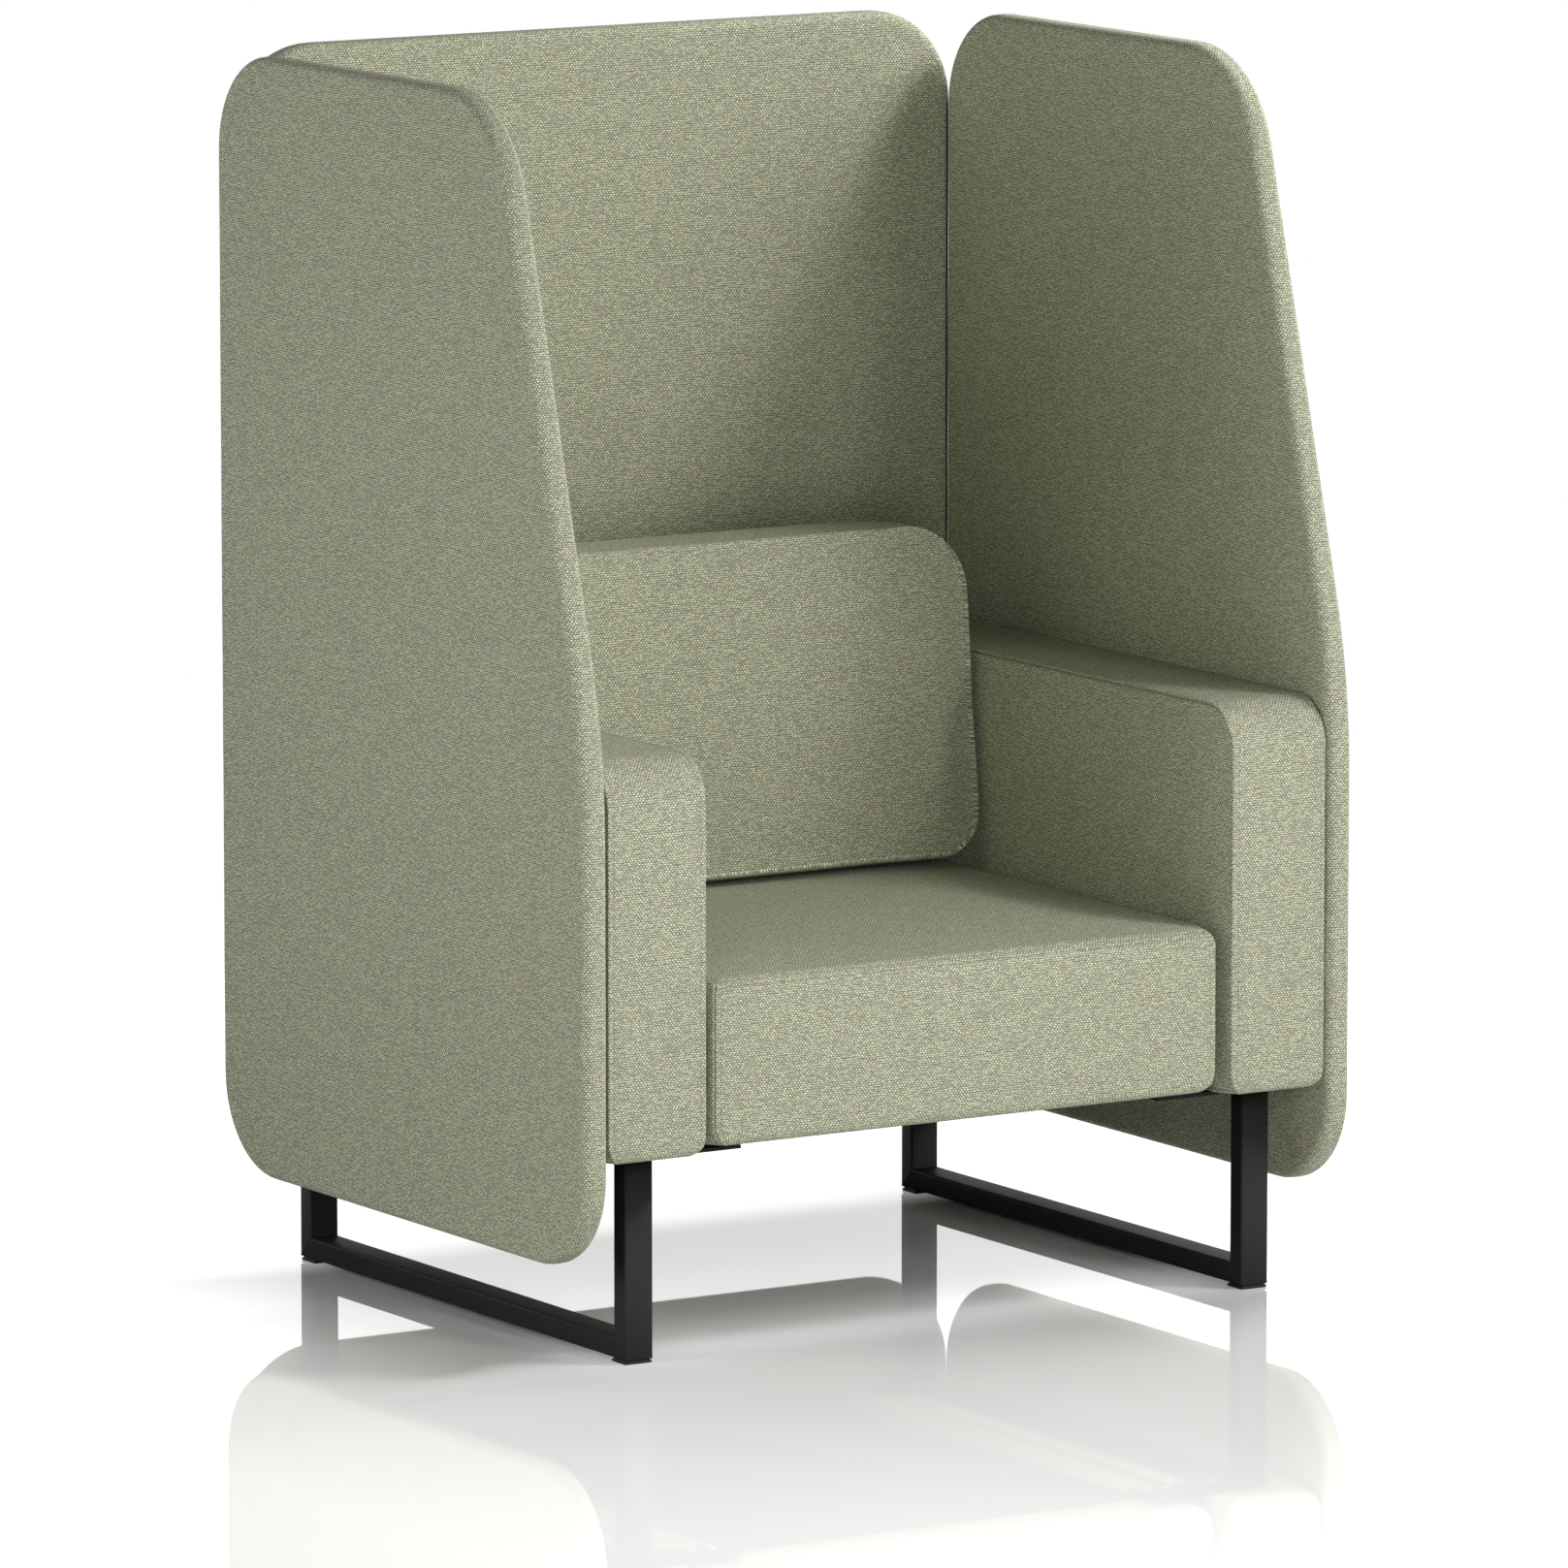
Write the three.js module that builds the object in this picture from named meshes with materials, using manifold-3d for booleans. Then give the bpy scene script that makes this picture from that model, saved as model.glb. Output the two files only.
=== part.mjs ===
// Acoustic high back lounge chair: three padded screens round a box-armed seat on two sled frames.
// Millimetres, +Z up. The floor is Z = 0 and the origin is the middle of the footprint.
// The sitter faces -Y, and +X is at the right of someone who looks at the chair from the front.
import * as THREE from 'three';
import { mergeVertices } from 'three/addons/utils/BufferGeometryUtils.js';
import Module from 'manifold-3d';

const wasm = await Module();
wasm.setup();

// Fineness of the curves, in steps
const outlineSteps = 8;
const edgeSteps = 3;
const boltSides = 8;
const boreSides = 12;
const cushionCornerSteps = 4;
const cushionSideSteps = 6;

// Fits
const seatingGap = 0.3;
const holeClearance = 0.4;
const cutOverrun = 5;

// Screens
const chairHeight = 1440;
const screenFloorGap = 116;
const screenThickness = 32;
const screenPadding = 10;
const screenEdgeRadius = 10;
const closingSlit = 3;
const wingDepth = 835;
const wingRearRadius = 115;
const wingToeRadius = 112;
const wingBrowRadius = 150;
const wingSlantDegrees = 15.4;
const wingBendHeight = 714;
const wingBendRadius = 790;
const backScreenLap = 8;
const backScreenCornerRadius = 112;
const cornerGap = 0.8;
const zipRadius = 0.9;

// Sled frames
const glideHeight = 5;
const glideWidth = 36;
const glideLength = 32;
const glideNeckHeight = 2;
const glideNeckInset = 1.5;
const glideStemRadius = 4;
const glideStemLength = 10;
const sledHeight = 231;
const sledFrontSetback = 50;
const sledRearSetback = 38;
const sledInset = 49.5;
const tubeWidth = 38;
const tubeDepth = 25;
const tubeWall = 2;
const tubeCornerRadius = 3;
const tubeInnerCornerRadius = 1;
const plateThickness = 4;
const plateWidth = 60;
const plateUnderSeat = 73;

// Bolts
const boltRadius = 4;
const boltHeadRadius = 6.5;
const boltHeadHeight = 4;

// Arms
const seatWellWidth = 716;
const armWidth = 131.7;
const armHeight = 460;
const armSetback = 6;
const armBrowRadius = 56;
const armToeRadius = 18;
const armRearRadius = 18;
const armEdgeRadius = 10;

// Timber inside the arms and the backrest
const bodyPadding = 20;
const carcassWall = 15;
const boardThickness = 18;

// Seat
const seatSideGap = 12;
const seatSetback = 7;
const seatLift = 6;
const seatThickness = 194;
const seatCrown = 12;
const seatCornerRadius = 8;
const seatEdgeRadius = 14;
const seatDrawIn = 2;
const deckSetback = 56;
const deckSideInset = 6;

// Backrest and back cushion
const backrestSideGap = 3;
const backrestDepth = 137;
const backrestHeight = 350;
const backrestEdgeRadius = 14;
const backrestCornerRadius = 24;
const backrestPortRadius = 30;
const cushionDepth = 166;
const cushionHeight = 408;
const cushionCornerRadius = 62;
const cushionEdgeRadius = 14;
const cushionCrown = 10;
const cushionDrawIn = 4;
const cushionSink = 6;
const cushionTopFall = 16;
const cushionSideGap = 6;
const leanDegrees = 6;

// Places of the fasteners, as shares of what they hold
const plateBoltShares = [0.25, 0.75];
const wingBoltLengthShares = [0.25, 0.8];
const wingBoltHeightShare = 0.6;
const backBoltHeightShares = [0.25, 0.75];
const backrestBoltWidthShares = [-0.6, 0.6];
const boltBiteShare = 0.8;

// Widths, from the middle of the chair outwards
const wellHalf = seatWellWidth / 2;
const armMiddle = wellHalf + armWidth / 2;
const insideHalf = wellHalf + armWidth + seatingGap;
const wingMiddle = insideHalf + screenThickness / 2;
const backScreenHalf = insideHalf + backScreenLap;
const seatHalf = wellHalf - seatSideGap;
const deckHalf = seatHalf - deckSideInset;
const backrestHalf = wellHalf - backrestSideGap;
const sledOuter = insideHalf - sledInset;
const sledMiddle = sledOuter - tubeWidth / 2;
const plateInner = wellHalf - plateUnderSeat;

// The back screen stands behind the side screens, corner to corner, so its front face lies
// where the two rounded edges just clear each other.
const edgePair = 2 * screenEdgeRadius;
const cornerReach = Math.sqrt((edgePair + cornerGap) ** 2 - (edgePair - backScreenLap) ** 2);
const backScreenStep = cornerReach - edgePair;
const overallDepth = wingDepth + backScreenStep + screenThickness;

// Depths, from the front to the rear
const wingFront = -overallDepth / 2;
const wingRear = wingFront + wingDepth;
const backScreenFront = wingRear + backScreenStep;
const backScreenMiddle = backScreenFront + screenThickness / 2;
const armFront = wingFront + armSetback;
const armRear = backScreenFront - seatingGap;
const armLength = armRear - armFront;
const seatFront = armFront + seatSetback;
const backrestFront = armRear - backrestDepth;
const seatRear = backrestFront - seatingGap;
const sledFront = wingFront + sledFrontSetback;
const sledRear = armRear - sledRearSetback;

// Heights
const sledTop = glideHeight + sledHeight;
const frameTop = sledTop + plateThickness;
const boardTop = frameTop + boardThickness;
const armTop = frameTop + armHeight;
const seatBottom = frameTop + seatLift;
const seatEdgeTop = seatBottom + seatThickness;
const seatTop = seatEdgeTop + seatCrown;
const backrestTop = seatEdgeTop + backrestHeight;
const cushionBottom = seatTop - cushionSink;

const leanSlope = Math.tan(THREE.MathUtils.degToRad(leanDegrees));
const coreThickness = screenThickness - 2 * screenPadding;
const pocketThickness = coreThickness + 2 * seatingGap;
const sides = { left: -1, right: 1 };
const up = new THREE.Vector3(0, 0, 1);

const fabric = new THREE.MeshStandardMaterial({ color: '#a6a78b', roughness: 0.95, metalness: 0 });
const blackSteel = new THREE.MeshStandardMaterial({ color: '#242424', roughness: 0.4, metalness: 0.3 });
const blackPlastic = new THREE.MeshStandardMaterial({ color: '#161616', roughness: 0.6, metalness: 0 });
const zincSteel = new THREE.MeshStandardMaterial({ color: '#9a9a98', roughness: 0.35, metalness: 1 });
const plywood = new THREE.MeshStandardMaterial({ color: '#b89468', roughness: 0.7, metalness: 0 });

// Turns (shape x, shape y, extrusion) into (Y, Z, X), for a side view drawn across the chair.
const sideView = new THREE.Matrix4().makeBasis(
  new THREE.Vector3(0, 1, 0),
  new THREE.Vector3(0, 0, 1),
  new THREE.Vector3(1, 0, 0),
);
// Turns (shape x, shape y, extrusion) into (X, Z, -Y), for a front view drawn towards the sitter.
const frontView = new THREE.Matrix4().makeBasis(
  new THREE.Vector3(1, 0, 0),
  new THREE.Vector3(0, 0, 1),
  new THREE.Vector3(0, -1, 0),
);

function toSolid(geometry) {
  const bare = geometry.clone();
  bare.deleteAttribute('normal');
  bare.deleteAttribute('uv');
  const merged = mergeVertices(bare);
  return new wasm.Manifold(new wasm.Mesh({
    numProp: 3,
    vertProperties: new Float32Array(merged.attributes.position.array),
    triVerts: new Uint32Array(merged.index.array),
  }));
}

function toGeometry(solid) {
  const { vertProperties, triVerts } = solid.getMesh();
  const geometry = new THREE.BufferGeometry();
  geometry.setAttribute('position', new THREE.BufferAttribute(vertProperties, 3));
  geometry.setIndex(new THREE.BufferAttribute(triVerts, 1));
  geometry.computeVertexNormals();
  return geometry;
}

function subtractAll(geometry, cutters) {
  const solid = cutters.reduce((left, cutter) => left.subtract(toSolid(cutter)), toSolid(geometry));
  return toGeometry(solid);
}

function piece(name, geometry, material, x = 0, y = 0, z = 0) {
  const mesh = new THREE.Mesh(geometry, material);
  mesh.name = name;
  mesh.position.set(x, y, z);
  return mesh;
}

function box(lowX, highX, lowY, highY, lowZ, highZ) {
  const geometry = new THREE.BoxGeometry(highX - lowX, highY - lowY, highZ - lowZ);
  return geometry.translate((lowX + highX) / 2, (lowY + highY) / 2, (lowZ + highZ) / 2);
}

// A slab of the given outline, centred on its own middle plane, with rounded edges all round.
function slab(shape, thickness, edgeRadius, view) {
  const radius = Math.min(edgeRadius, thickness / 2 - seatingGap);
  const geometry = new THREE.ExtrudeGeometry(shape, {
    depth: thickness - 2 * radius,
    bevelEnabled: radius > 0,
    bevelThickness: radius,
    bevelSize: radius,
    bevelOffset: -radius,
    bevelSegments: edgeSteps,
    curveSegments: outlineSteps,
  });
  return geometry.translate(0, 0, radius - thickness / 2).applyMatrix4(view);
}

// A cylinder along X, Y or Z that starts at a point and runs to the positive or negative side.
function rod(radius, length, axis, x, y, z) {
  const geometry = new THREE.CylinderGeometry(radius, radius, length, boreSides);
  geometry.rotateX(Math.PI / 2);
  if (axis.x) geometry.rotateY(Math.PI / 2);
  if (axis.y) geometry.rotateX(Math.PI / 2);
  const half = length / 2;
  return geometry.translate(x + axis.x * half, y + axis.y * half, z + axis.z * half);
}

// Screens

// Side view of a side screen: upright rear, level top, front edge that leans back above a long bend.
function wingShape(inset) {
  const slant = THREE.MathUtils.degToRad(wingSlantDegrees);
  const rear = wingRear - inset;
  const front = wingFront + inset;
  const top = chairHeight - inset;
  const bottom = screenFloorGap + inset;
  const rearRadius = wingRearRadius - inset;
  const toeRadius = wingToeRadius - inset;
  const browRadius = wingBrowRadius - inset;
  const bendRadius = wingBendRadius - inset;
  // The leaning line is (y, z) = bend + run * (sin, cos); each fillet centre lies one radius inside it.
  const leanAt = (z) => wingFront + (z - wingBendHeight) * Math.tan(slant) + inset / Math.cos(slant);
  const browZ = top - browRadius;
  const browY = leanAt(browZ) + browRadius / Math.cos(slant);
  const bendY = front + bendRadius;
  const bendRun = bendY - wingFront - (inset + bendRadius) / Math.cos(slant);
  const bendZ = wingBendHeight + bendRun / Math.tan(slant);
  const shape = new THREE.Shape();
  shape.absarc(rear - rearRadius, bottom + rearRadius, rearRadius, -Math.PI / 2, 0, false);
  shape.absarc(rear - rearRadius, top - rearRadius, rearRadius, 0, Math.PI / 2, false);
  shape.absarc(browY, browZ, browRadius, Math.PI / 2, Math.PI - slant, false);
  shape.absarc(bendY, bendZ, bendRadius, Math.PI - slant, Math.PI, false);
  shape.absarc(front + toeRadius, bottom + toeRadius, toeRadius, Math.PI, 1.5 * Math.PI, false);
  return shape;
}

// Front view of the back screen: a rectangle with four equal round corners.
function backScreenShape(inset) {
  const half = backScreenHalf - inset;
  const top = chairHeight - inset;
  const bottom = screenFloorGap + inset;
  const radius = backScreenCornerRadius - inset;
  const shape = new THREE.Shape();
  shape.absarc(half - radius, bottom + radius, radius, -Math.PI / 2, 0, false);
  shape.absarc(half - radius, top - radius, radius, 0, Math.PI / 2, false);
  shape.absarc(radius - half, top - radius, radius, Math.PI / 2, Math.PI, false);
  shape.absarc(radius - half, bottom + radius, radius, Math.PI, 1.5 * Math.PI, false);
  return shape;
}

function wingBoltPlaces() {
  const z = frameTop + armHeight * wingBoltHeightShare;
  return wingBoltLengthShares.map((share) => ({ y: armFront + armLength * share, z }));
}

function backBoltHeights() {
  return backBoltHeightShares.map((share) => frameTop + armHeight * share);
}

// The core's hole for a bolt is blind: it starts at the core's face towards the arm.
const coreBite = coreThickness * boltBiteShare;
const screenHoleDepth = screenPadding + coreBite + seatingGap;

function wingBoltHoles(side) {
  const start = -side * (screenThickness / 2 + cutOverrun);
  const length = screenHoleDepth + cutOverrun;
  const axis = new THREE.Vector3(side, 0, 0);
  return wingBoltPlaces().map(({ y, z }) => rod(boltRadius + holeClearance, length, axis, start, y, z));
}

function backBoltHoles() {
  const start = -screenThickness / 2 - cutOverrun;
  const length = screenHoleDepth + cutOverrun;
  const axis = new THREE.Vector3(0, 1, 0);
  return Object.values(sides).flatMap((side) => backBoltHeights().map(
    (z) => rod(boltRadius + holeClearance, length, axis, side * armMiddle, start, z),
  ));
}

function wingScreen(name, side) {
  const group = new THREE.Group();
  group.position.x = side * wingMiddle;
  const pocket = slab(wingShape(screenPadding - seatingGap), pocketThickness, 0, sideView);
  const slit = box(
    -closingSlit / 2, closingSlit / 2,
    wingFront + wingToeRadius, wingRear - wingRearRadius,
    screenFloorGap - cutOverrun, screenFloorGap + screenPadding + cutOverrun,
  );
  const shell = slab(wingShape(0), screenThickness, screenEdgeRadius, sideView);
  const holes = wingBoltHoles(side);
  const board = slab(wingShape(screenPadding), coreThickness, 0, sideView);
  group.add(piece(`${name}_screen_cover`, subtractAll(shell, [pocket, slit, ...holes]), fabric));
  group.add(piece(`${name}_screen_core`, subtractAll(board, holes), plywood));
  return group;
}

function backScreen() {
  const group = new THREE.Group();
  group.position.y = backScreenMiddle;
  const pocket = slab(backScreenShape(screenPadding - seatingGap), pocketThickness, 0, frontView);
  const slitHalf = backScreenHalf - backScreenCornerRadius;
  const slit = box(
    -slitHalf, slitHalf,
    -closingSlit / 2, closingSlit / 2,
    screenFloorGap - cutOverrun, screenFloorGap + screenPadding + cutOverrun,
  );
  const shell = slab(backScreenShape(0), screenThickness, screenEdgeRadius, frontView);
  const board = slab(backScreenShape(screenPadding), coreThickness, 0, frontView);
  const holes = backBoltHoles();
  group.add(piece('back_screen_cover', subtractAll(shell, [pocket, slit, ...holes]), fabric));
  group.add(piece('back_screen_core', subtractAll(board, holes), plywood));
  return group;
}

// The closed zip lies in the furrow between a side screen and the back screen, clear of both edges.
function cornerZip(name, side) {
  const bottom = screenFloorGap + wingRearRadius;
  const top = chairHeight - wingRearRadius;
  const geometry = new THREE.CylinderGeometry(zipRadius, zipRadius, top - bottom, boltSides);
  geometry.rotateX(Math.PI / 2);
  // The furrow is widest along the line square to the one between the two edges' centres.
  const acrossX = (edgePair - backScreenLap) / (edgePair + cornerGap);
  const acrossY = cornerReach / (edgePair + cornerGap);
  const middleX = insideHalf + backScreenLap / 2;
  const middleY = wingRear - screenEdgeRadius + cornerReach / 2;
  const offset = Math.sqrt((screenEdgeRadius + cornerGap / 2) * 2 * zipRadius + zipRadius ** 2);
  const x = middleX - acrossY * offset;
  const y = middleY - acrossX * offset;
  return piece(`${name}_corner_zip`, geometry, blackPlastic, side * x, y, (bottom + top) / 2);
}

// Sled frames

// One loop of the rectangular tube's section, with rounded corners, around the tube's middle.
function tubeLoop(inset, radius) {
  const halfWidth = tubeWidth / 2 - inset;
  const halfDepth = tubeDepth / 2 - inset;
  const corners = [[1, -1, -0.5], [1, 1, 0], [-1, 1, 0.5], [-1, -1, 1]];
  const steps = [0, 1, 2];
  return corners.flatMap(([signX, signY, start]) => steps.map((step) => {
    const angle = Math.PI * (start + step / 4);
    return [
      signX * (halfWidth - radius) + radius * Math.cos(angle),
      signY * (halfDepth - radius) + radius * Math.sin(angle),
    ];
  }));
}

// A hollow tube along +Z, open at both ends. Each end is cut square, or slanted by its slope across Y.
function tubeGeometry(length, lowSlope, highSlope) {
  const loops = [tubeLoop(0, tubeCornerRadius), tubeLoop(tubeWall, tubeInnerCornerRadius)];
  const count = loops[0].length;
  const positions = [];
  loops.forEach((loop) => {
    loop.forEach(([x, y]) => positions.push(x, y, lowSlope * y));
    loop.forEach(([x, y]) => positions.push(x, y, length + highSlope * y));
  });
  const [outerLow, outerHigh, innerLow, innerHigh] = [0, count, 2 * count, 3 * count];
  const index = [];
  for (let i = 0; i < count; i += 1) {
    const next = (i + 1) % count;
    const quad = (a, b, c, d) => index.push(a, b, c, a, c, d);
    quad(outerLow + i, outerLow + next, outerHigh + next, outerHigh + i);
    quad(innerLow + next, innerLow + i, innerHigh + i, innerHigh + next);
    quad(outerHigh + i, outerHigh + next, innerHigh + next, innerHigh + i);
    quad(outerLow + next, outerLow + i, innerLow + i, innerLow + next);
  }
  const geometry = new THREE.BufferGeometry();
  geometry.setAttribute('position', new THREE.Float32BufferAttribute(positions, 3));
  geometry.setIndex(index);
  return geometry;
}

function glideMiddles() {
  return { front: sledFront + glideLength / 2, rear: sledRear - glideLength / 2 };
}

// The floor rail lies along Y between two mitres, with a hole under each end for a glide's stem.
function floorRail() {
  const half = tubeDepth / 2;
  const low = sledFront + half + seatingGap;
  const length = sledRear - half - seatingGap - low;
  const rail = tubeGeometry(length, -1, 1);
  rail.rotateX(-Math.PI / 2);
  rail.translate(0, low, glideHeight + half);
  const holes = Object.values(glideMiddles()).map((y) => rod(
    glideStemRadius + holeClearance, tubeWall + 2 * cutOverrun, up, 0, y, glideHeight - cutOverrun,
  ));
  return subtractAll(rail, holes);
}

function glide() {
  const halfWidth = glideWidth / 2;
  const halfLength = glideLength / 2;
  const neckBottom = glideHeight - glideNeckHeight;
  const pad = toSolid(box(-halfWidth, halfWidth, -halfLength, halfLength, 0, neckBottom));
  const neckX = halfWidth - glideNeckInset;
  const neckY = halfLength - glideNeckInset;
  const neck = toSolid(box(-neckX, neckX, -neckY, neckY, 0, glideHeight));
  const stem = toSolid(rod(glideStemRadius, glideHeight + glideStemLength, up, 0, 0, 0));
  return toGeometry(pad.add(neck).add(stem));
}

// A bolt stands on its head's outer face, with its shank along +Z.
function boltGeometry(shankLength) {
  const profile = [
    [0, 0],
    [boltHeadRadius, 0],
    [boltHeadRadius, boltHeadHeight],
    [boltRadius, boltHeadHeight],
    [boltRadius, boltHeadHeight + shankLength],
    [0, boltHeadHeight + shankLength],
  ].map(([x, y]) => new THREE.Vector2(x, y));
  const geometry = new THREE.LatheGeometry(profile, boltSides);
  return geometry.rotateX(Math.PI / 2);
}

function between(low, high, share) {
  return low + (high - low) * share;
}

// Two bolts of each plate hold the seat deck, and two hold the arm's base board.
function plateBoltXs() {
  const armLow = wellHalf + bodyPadding;
  return [
    ...plateBoltShares.map((share) => between(plateInner, deckHalf, share)),
    ...plateBoltShares.map((share) => between(armLow, sledOuter, share)),
  ];
}

// The bolts stand in one row beside the leg, on the plate's part that reaches past it.
function plateBoltY(end) {
  const reach = (tubeDepth + plateWidth) / 2;
  return end === 'front' ? sledFront + reach : sledRear - reach;
}

const boardBite = boardThickness * boltBiteShare;

function boardHoles(xs, depth) {
  return ['front', 'rear'].flatMap((end) => xs.map((x) => rod(
    boltRadius + holeClearance, cutOverrun + depth, up, x, plateBoltY(end), frameTop - cutOverrun,
  )));
}

function mountingPlate(side, end) {
  const lowX = side > 0 ? plateInner : -sledOuter;
  const lowY = end === 'front' ? sledFront : sledRear - plateWidth;
  const plate = box(lowX, lowX + sledOuter - plateInner, lowY, lowY + plateWidth, sledTop, frameTop);
  const length = plateThickness + 2 * cutOverrun;
  const holes = plateBoltXs().map((x) => rod(
    boltRadius + holeClearance, length, up, side * x, plateBoltY(end), sledTop - cutOverrun,
  ));
  return subtractAll(plate, holes);
}

function leg(name, end) {
  const half = tubeDepth / 2;
  const slope = end === 'front' ? 1 : -1;
  const y = end === 'front' ? sledFront + half : sledRear - half;
  return piece(name, tubeGeometry(sledHeight - half, slope, 0), blackSteel, 0, y, glideHeight + half);
}

function sled(name, side) {
  const group = new THREE.Group();
  const tubes = new THREE.Group();
  tubes.position.x = side * sledMiddle;
  tubes.add(leg(`${name}_front_leg`, 'front'));
  tubes.add(leg(`${name}_rear_leg`, 'rear'));
  tubes.add(piece(`${name}_floor_rail`, floorRail(), blackSteel));
  Object.entries(glideMiddles()).forEach(([end, y]) => {
    tubes.add(piece(`${name}_${end}_glide`, glide(), blackPlastic, 0, y, 0));
  });
  group.add(tubes);
  ['front', 'rear'].forEach((end) => {
    group.add(piece(`${name}_${end}_mounting_plate`, mountingPlate(side, end), blackSteel));
    plateBoltXs().forEach((x, number) => {
      const bolt = boltGeometry(plateThickness + boardBite);
      const label = `${name}_${end}_plate_bolt_${number + 1}`;
      group.add(piece(label, bolt, zincSteel, side * x, plateBoltY(end), sledTop - boltHeadHeight));
    });
  });
  return group;
}

// Arms

// Side view of an arm: square and upright, with a large round corner at the front of its top.
function armShape(inset, bottom) {
  const front = armFront + inset;
  const rear = armRear - inset;
  const top = armTop - inset;
  const soften = (radius) => Math.max(radius - inset, seatingGap);
  const brow = soften(armBrowRadius);
  const toe = soften(armToeRadius);
  const tail = soften(armRearRadius);
  const shape = new THREE.Shape();
  shape.absarc(rear - tail, bottom + tail, tail, -Math.PI / 2, 0, false);
  shape.absarc(rear - tail, top - tail, tail, 0, Math.PI / 2, false);
  shape.absarc(front + brow, top - brow, brow, Math.PI / 2, Math.PI, false);
  shape.absarc(front + toe, bottom + toe, toe, Math.PI, 1.5 * Math.PI, false);
  return shape;
}

const carcassWidth = armWidth - 2 * bodyPadding;
const boxFloor = boardTop + seatingGap;
const armBoltReach = carcassWall + bodyPadding;

// Holes through the arm's padding and timber box, out to the side screen and back to the back screen.
function armBoltHoles(side) {
  const radius = boltRadius + holeClearance;
  const length = armBoltReach + 2 * cutOverrun;
  const startX = side * (armWidth / 2 - armBoltReach - cutOverrun);
  const startY = armRear - armBoltReach - cutOverrun;
  const outwards = new THREE.Vector3(side, 0, 0);
  const backwards = new THREE.Vector3(0, 1, 0);
  return [
    ...wingBoltPlaces().map(({ y, z }) => rod(radius, length, outwards, startX, y, z)),
    ...backBoltHeights().map((z) => rod(radius, length, backwards, 0, startY, z)),
  ];
}

function arm(name, side) {
  const group = new THREE.Group();
  group.position.x = side * armMiddle;
  const holes = armBoltHoles(side);
  const shell = slab(armShape(0, frameTop + seatingGap), armWidth, armEdgeRadius, sideView);
  const pocketShape = armShape(bodyPadding - seatingGap, frameTop - cutOverrun - armToeRadius);
  const pocket = slab(pocketShape, carcassWidth + 2 * seatingGap, 0, sideView);
  group.add(piece(`${name}_arm_cover`, subtractAll(shell, [pocket, ...holes]), fabric));

  const outer = slab(armShape(bodyPadding, boxFloor), carcassWidth, 0, sideView);
  const hollowShape = armShape(bodyPadding + carcassWall, boxFloor - cutOverrun - armToeRadius);
  const hollow = slab(hollowShape, carcassWidth - 2 * carcassWall, 0, sideView);
  group.add(piece(`${name}_arm_frame`, subtractAll(outer, [hollow, ...holes]), plywood));

  const half = carcassWidth / 2;
  const board = box(-half, half, armFront + bodyPadding, armRear - bodyPadding, frameTop, boardTop);
  const boltXs = plateBoltXs().slice(plateBoltShares.length).map((x) => side * (x - armMiddle));
  const boltHoles = boardHoles(boltXs, boardBite + seatingGap);
  group.add(piece(`${name}_arm_base_board`, subtractAll(board, boltHoles), plywood));
  return group;
}

// Bolts that hold the screens stand inside the arm's timber box and point outwards or backwards.
function screenBolts(name, side) {
  const group = new THREE.Group();
  group.position.x = side * armMiddle;
  const shank = armBoltReach + seatingGap + screenPadding + coreBite;
  const headFace = armBoltReach + boltHeadHeight;
  wingBoltPlaces().forEach(({ y, z }, number) => {
    const bolt = boltGeometry(shank).rotateY(side * Math.PI / 2);
    const x = side * (armWidth / 2 - headFace);
    group.add(piece(`${name}_side_screen_bolt_${number + 1}`, bolt, zincSteel, x, y, z));
  });
  backBoltHeights().forEach((z, number) => {
    const bolt = boltGeometry(shank).rotateX(-Math.PI / 2);
    group.add(piece(`${name}_back_screen_bolt_${number + 1}`, bolt, zincSteel, 0, armRear - headFace, z));
  });
  return group;
}

// Cushions

// One ring of a cushion's outline: round corners, and sides that draw in between them.
function cushionRing(size, inset, scale) {
  const halfWidth = size.width / 2 - inset;
  const halfHeight = size.height / 2 - inset;
  const radius = Math.max(size.cornerRadius - inset, seatingGap);
  const corners = [[1, -1], [1, 1], [-1, 1], [-1, -1]];
  const ring = [];
  corners.forEach(([signX, signY], corner) => {
    const centreX = signX * (halfWidth - radius);
    const centreY = signY * (halfHeight - radius);
    for (let step = 0; step <= cushionCornerSteps; step += 1) {
      const angle = (Math.PI / 2) * (corner - 1 + step / cushionCornerSteps);
      ring.push([centreX + radius * Math.cos(angle), centreY + radius * Math.sin(angle)]);
    }
    const [nextX, nextY] = corners[(corner + 1) % corners.length];
    const from = ring[ring.length - 1];
    const turn = (Math.PI / 2) * corner;
    const to = [
      nextX * (halfWidth - radius) + radius * Math.cos(turn),
      nextY * (halfHeight - radius) + radius * Math.sin(turn),
    ];
    for (let step = 1; step < cushionSideSteps; step += 1) {
      const share = step / cushionSideSteps;
      const drawIn = size.drawIn * Math.sin(Math.PI * share);
      ring.push([
        between(from[0], to[0], share) - drawIn * Math.cos(turn),
        between(from[1], to[1], share) - drawIn * Math.sin(turn),
      ]);
    }
  });
  return ring.map(([x, y]) => [x * scale, y * scale]);
}

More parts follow.
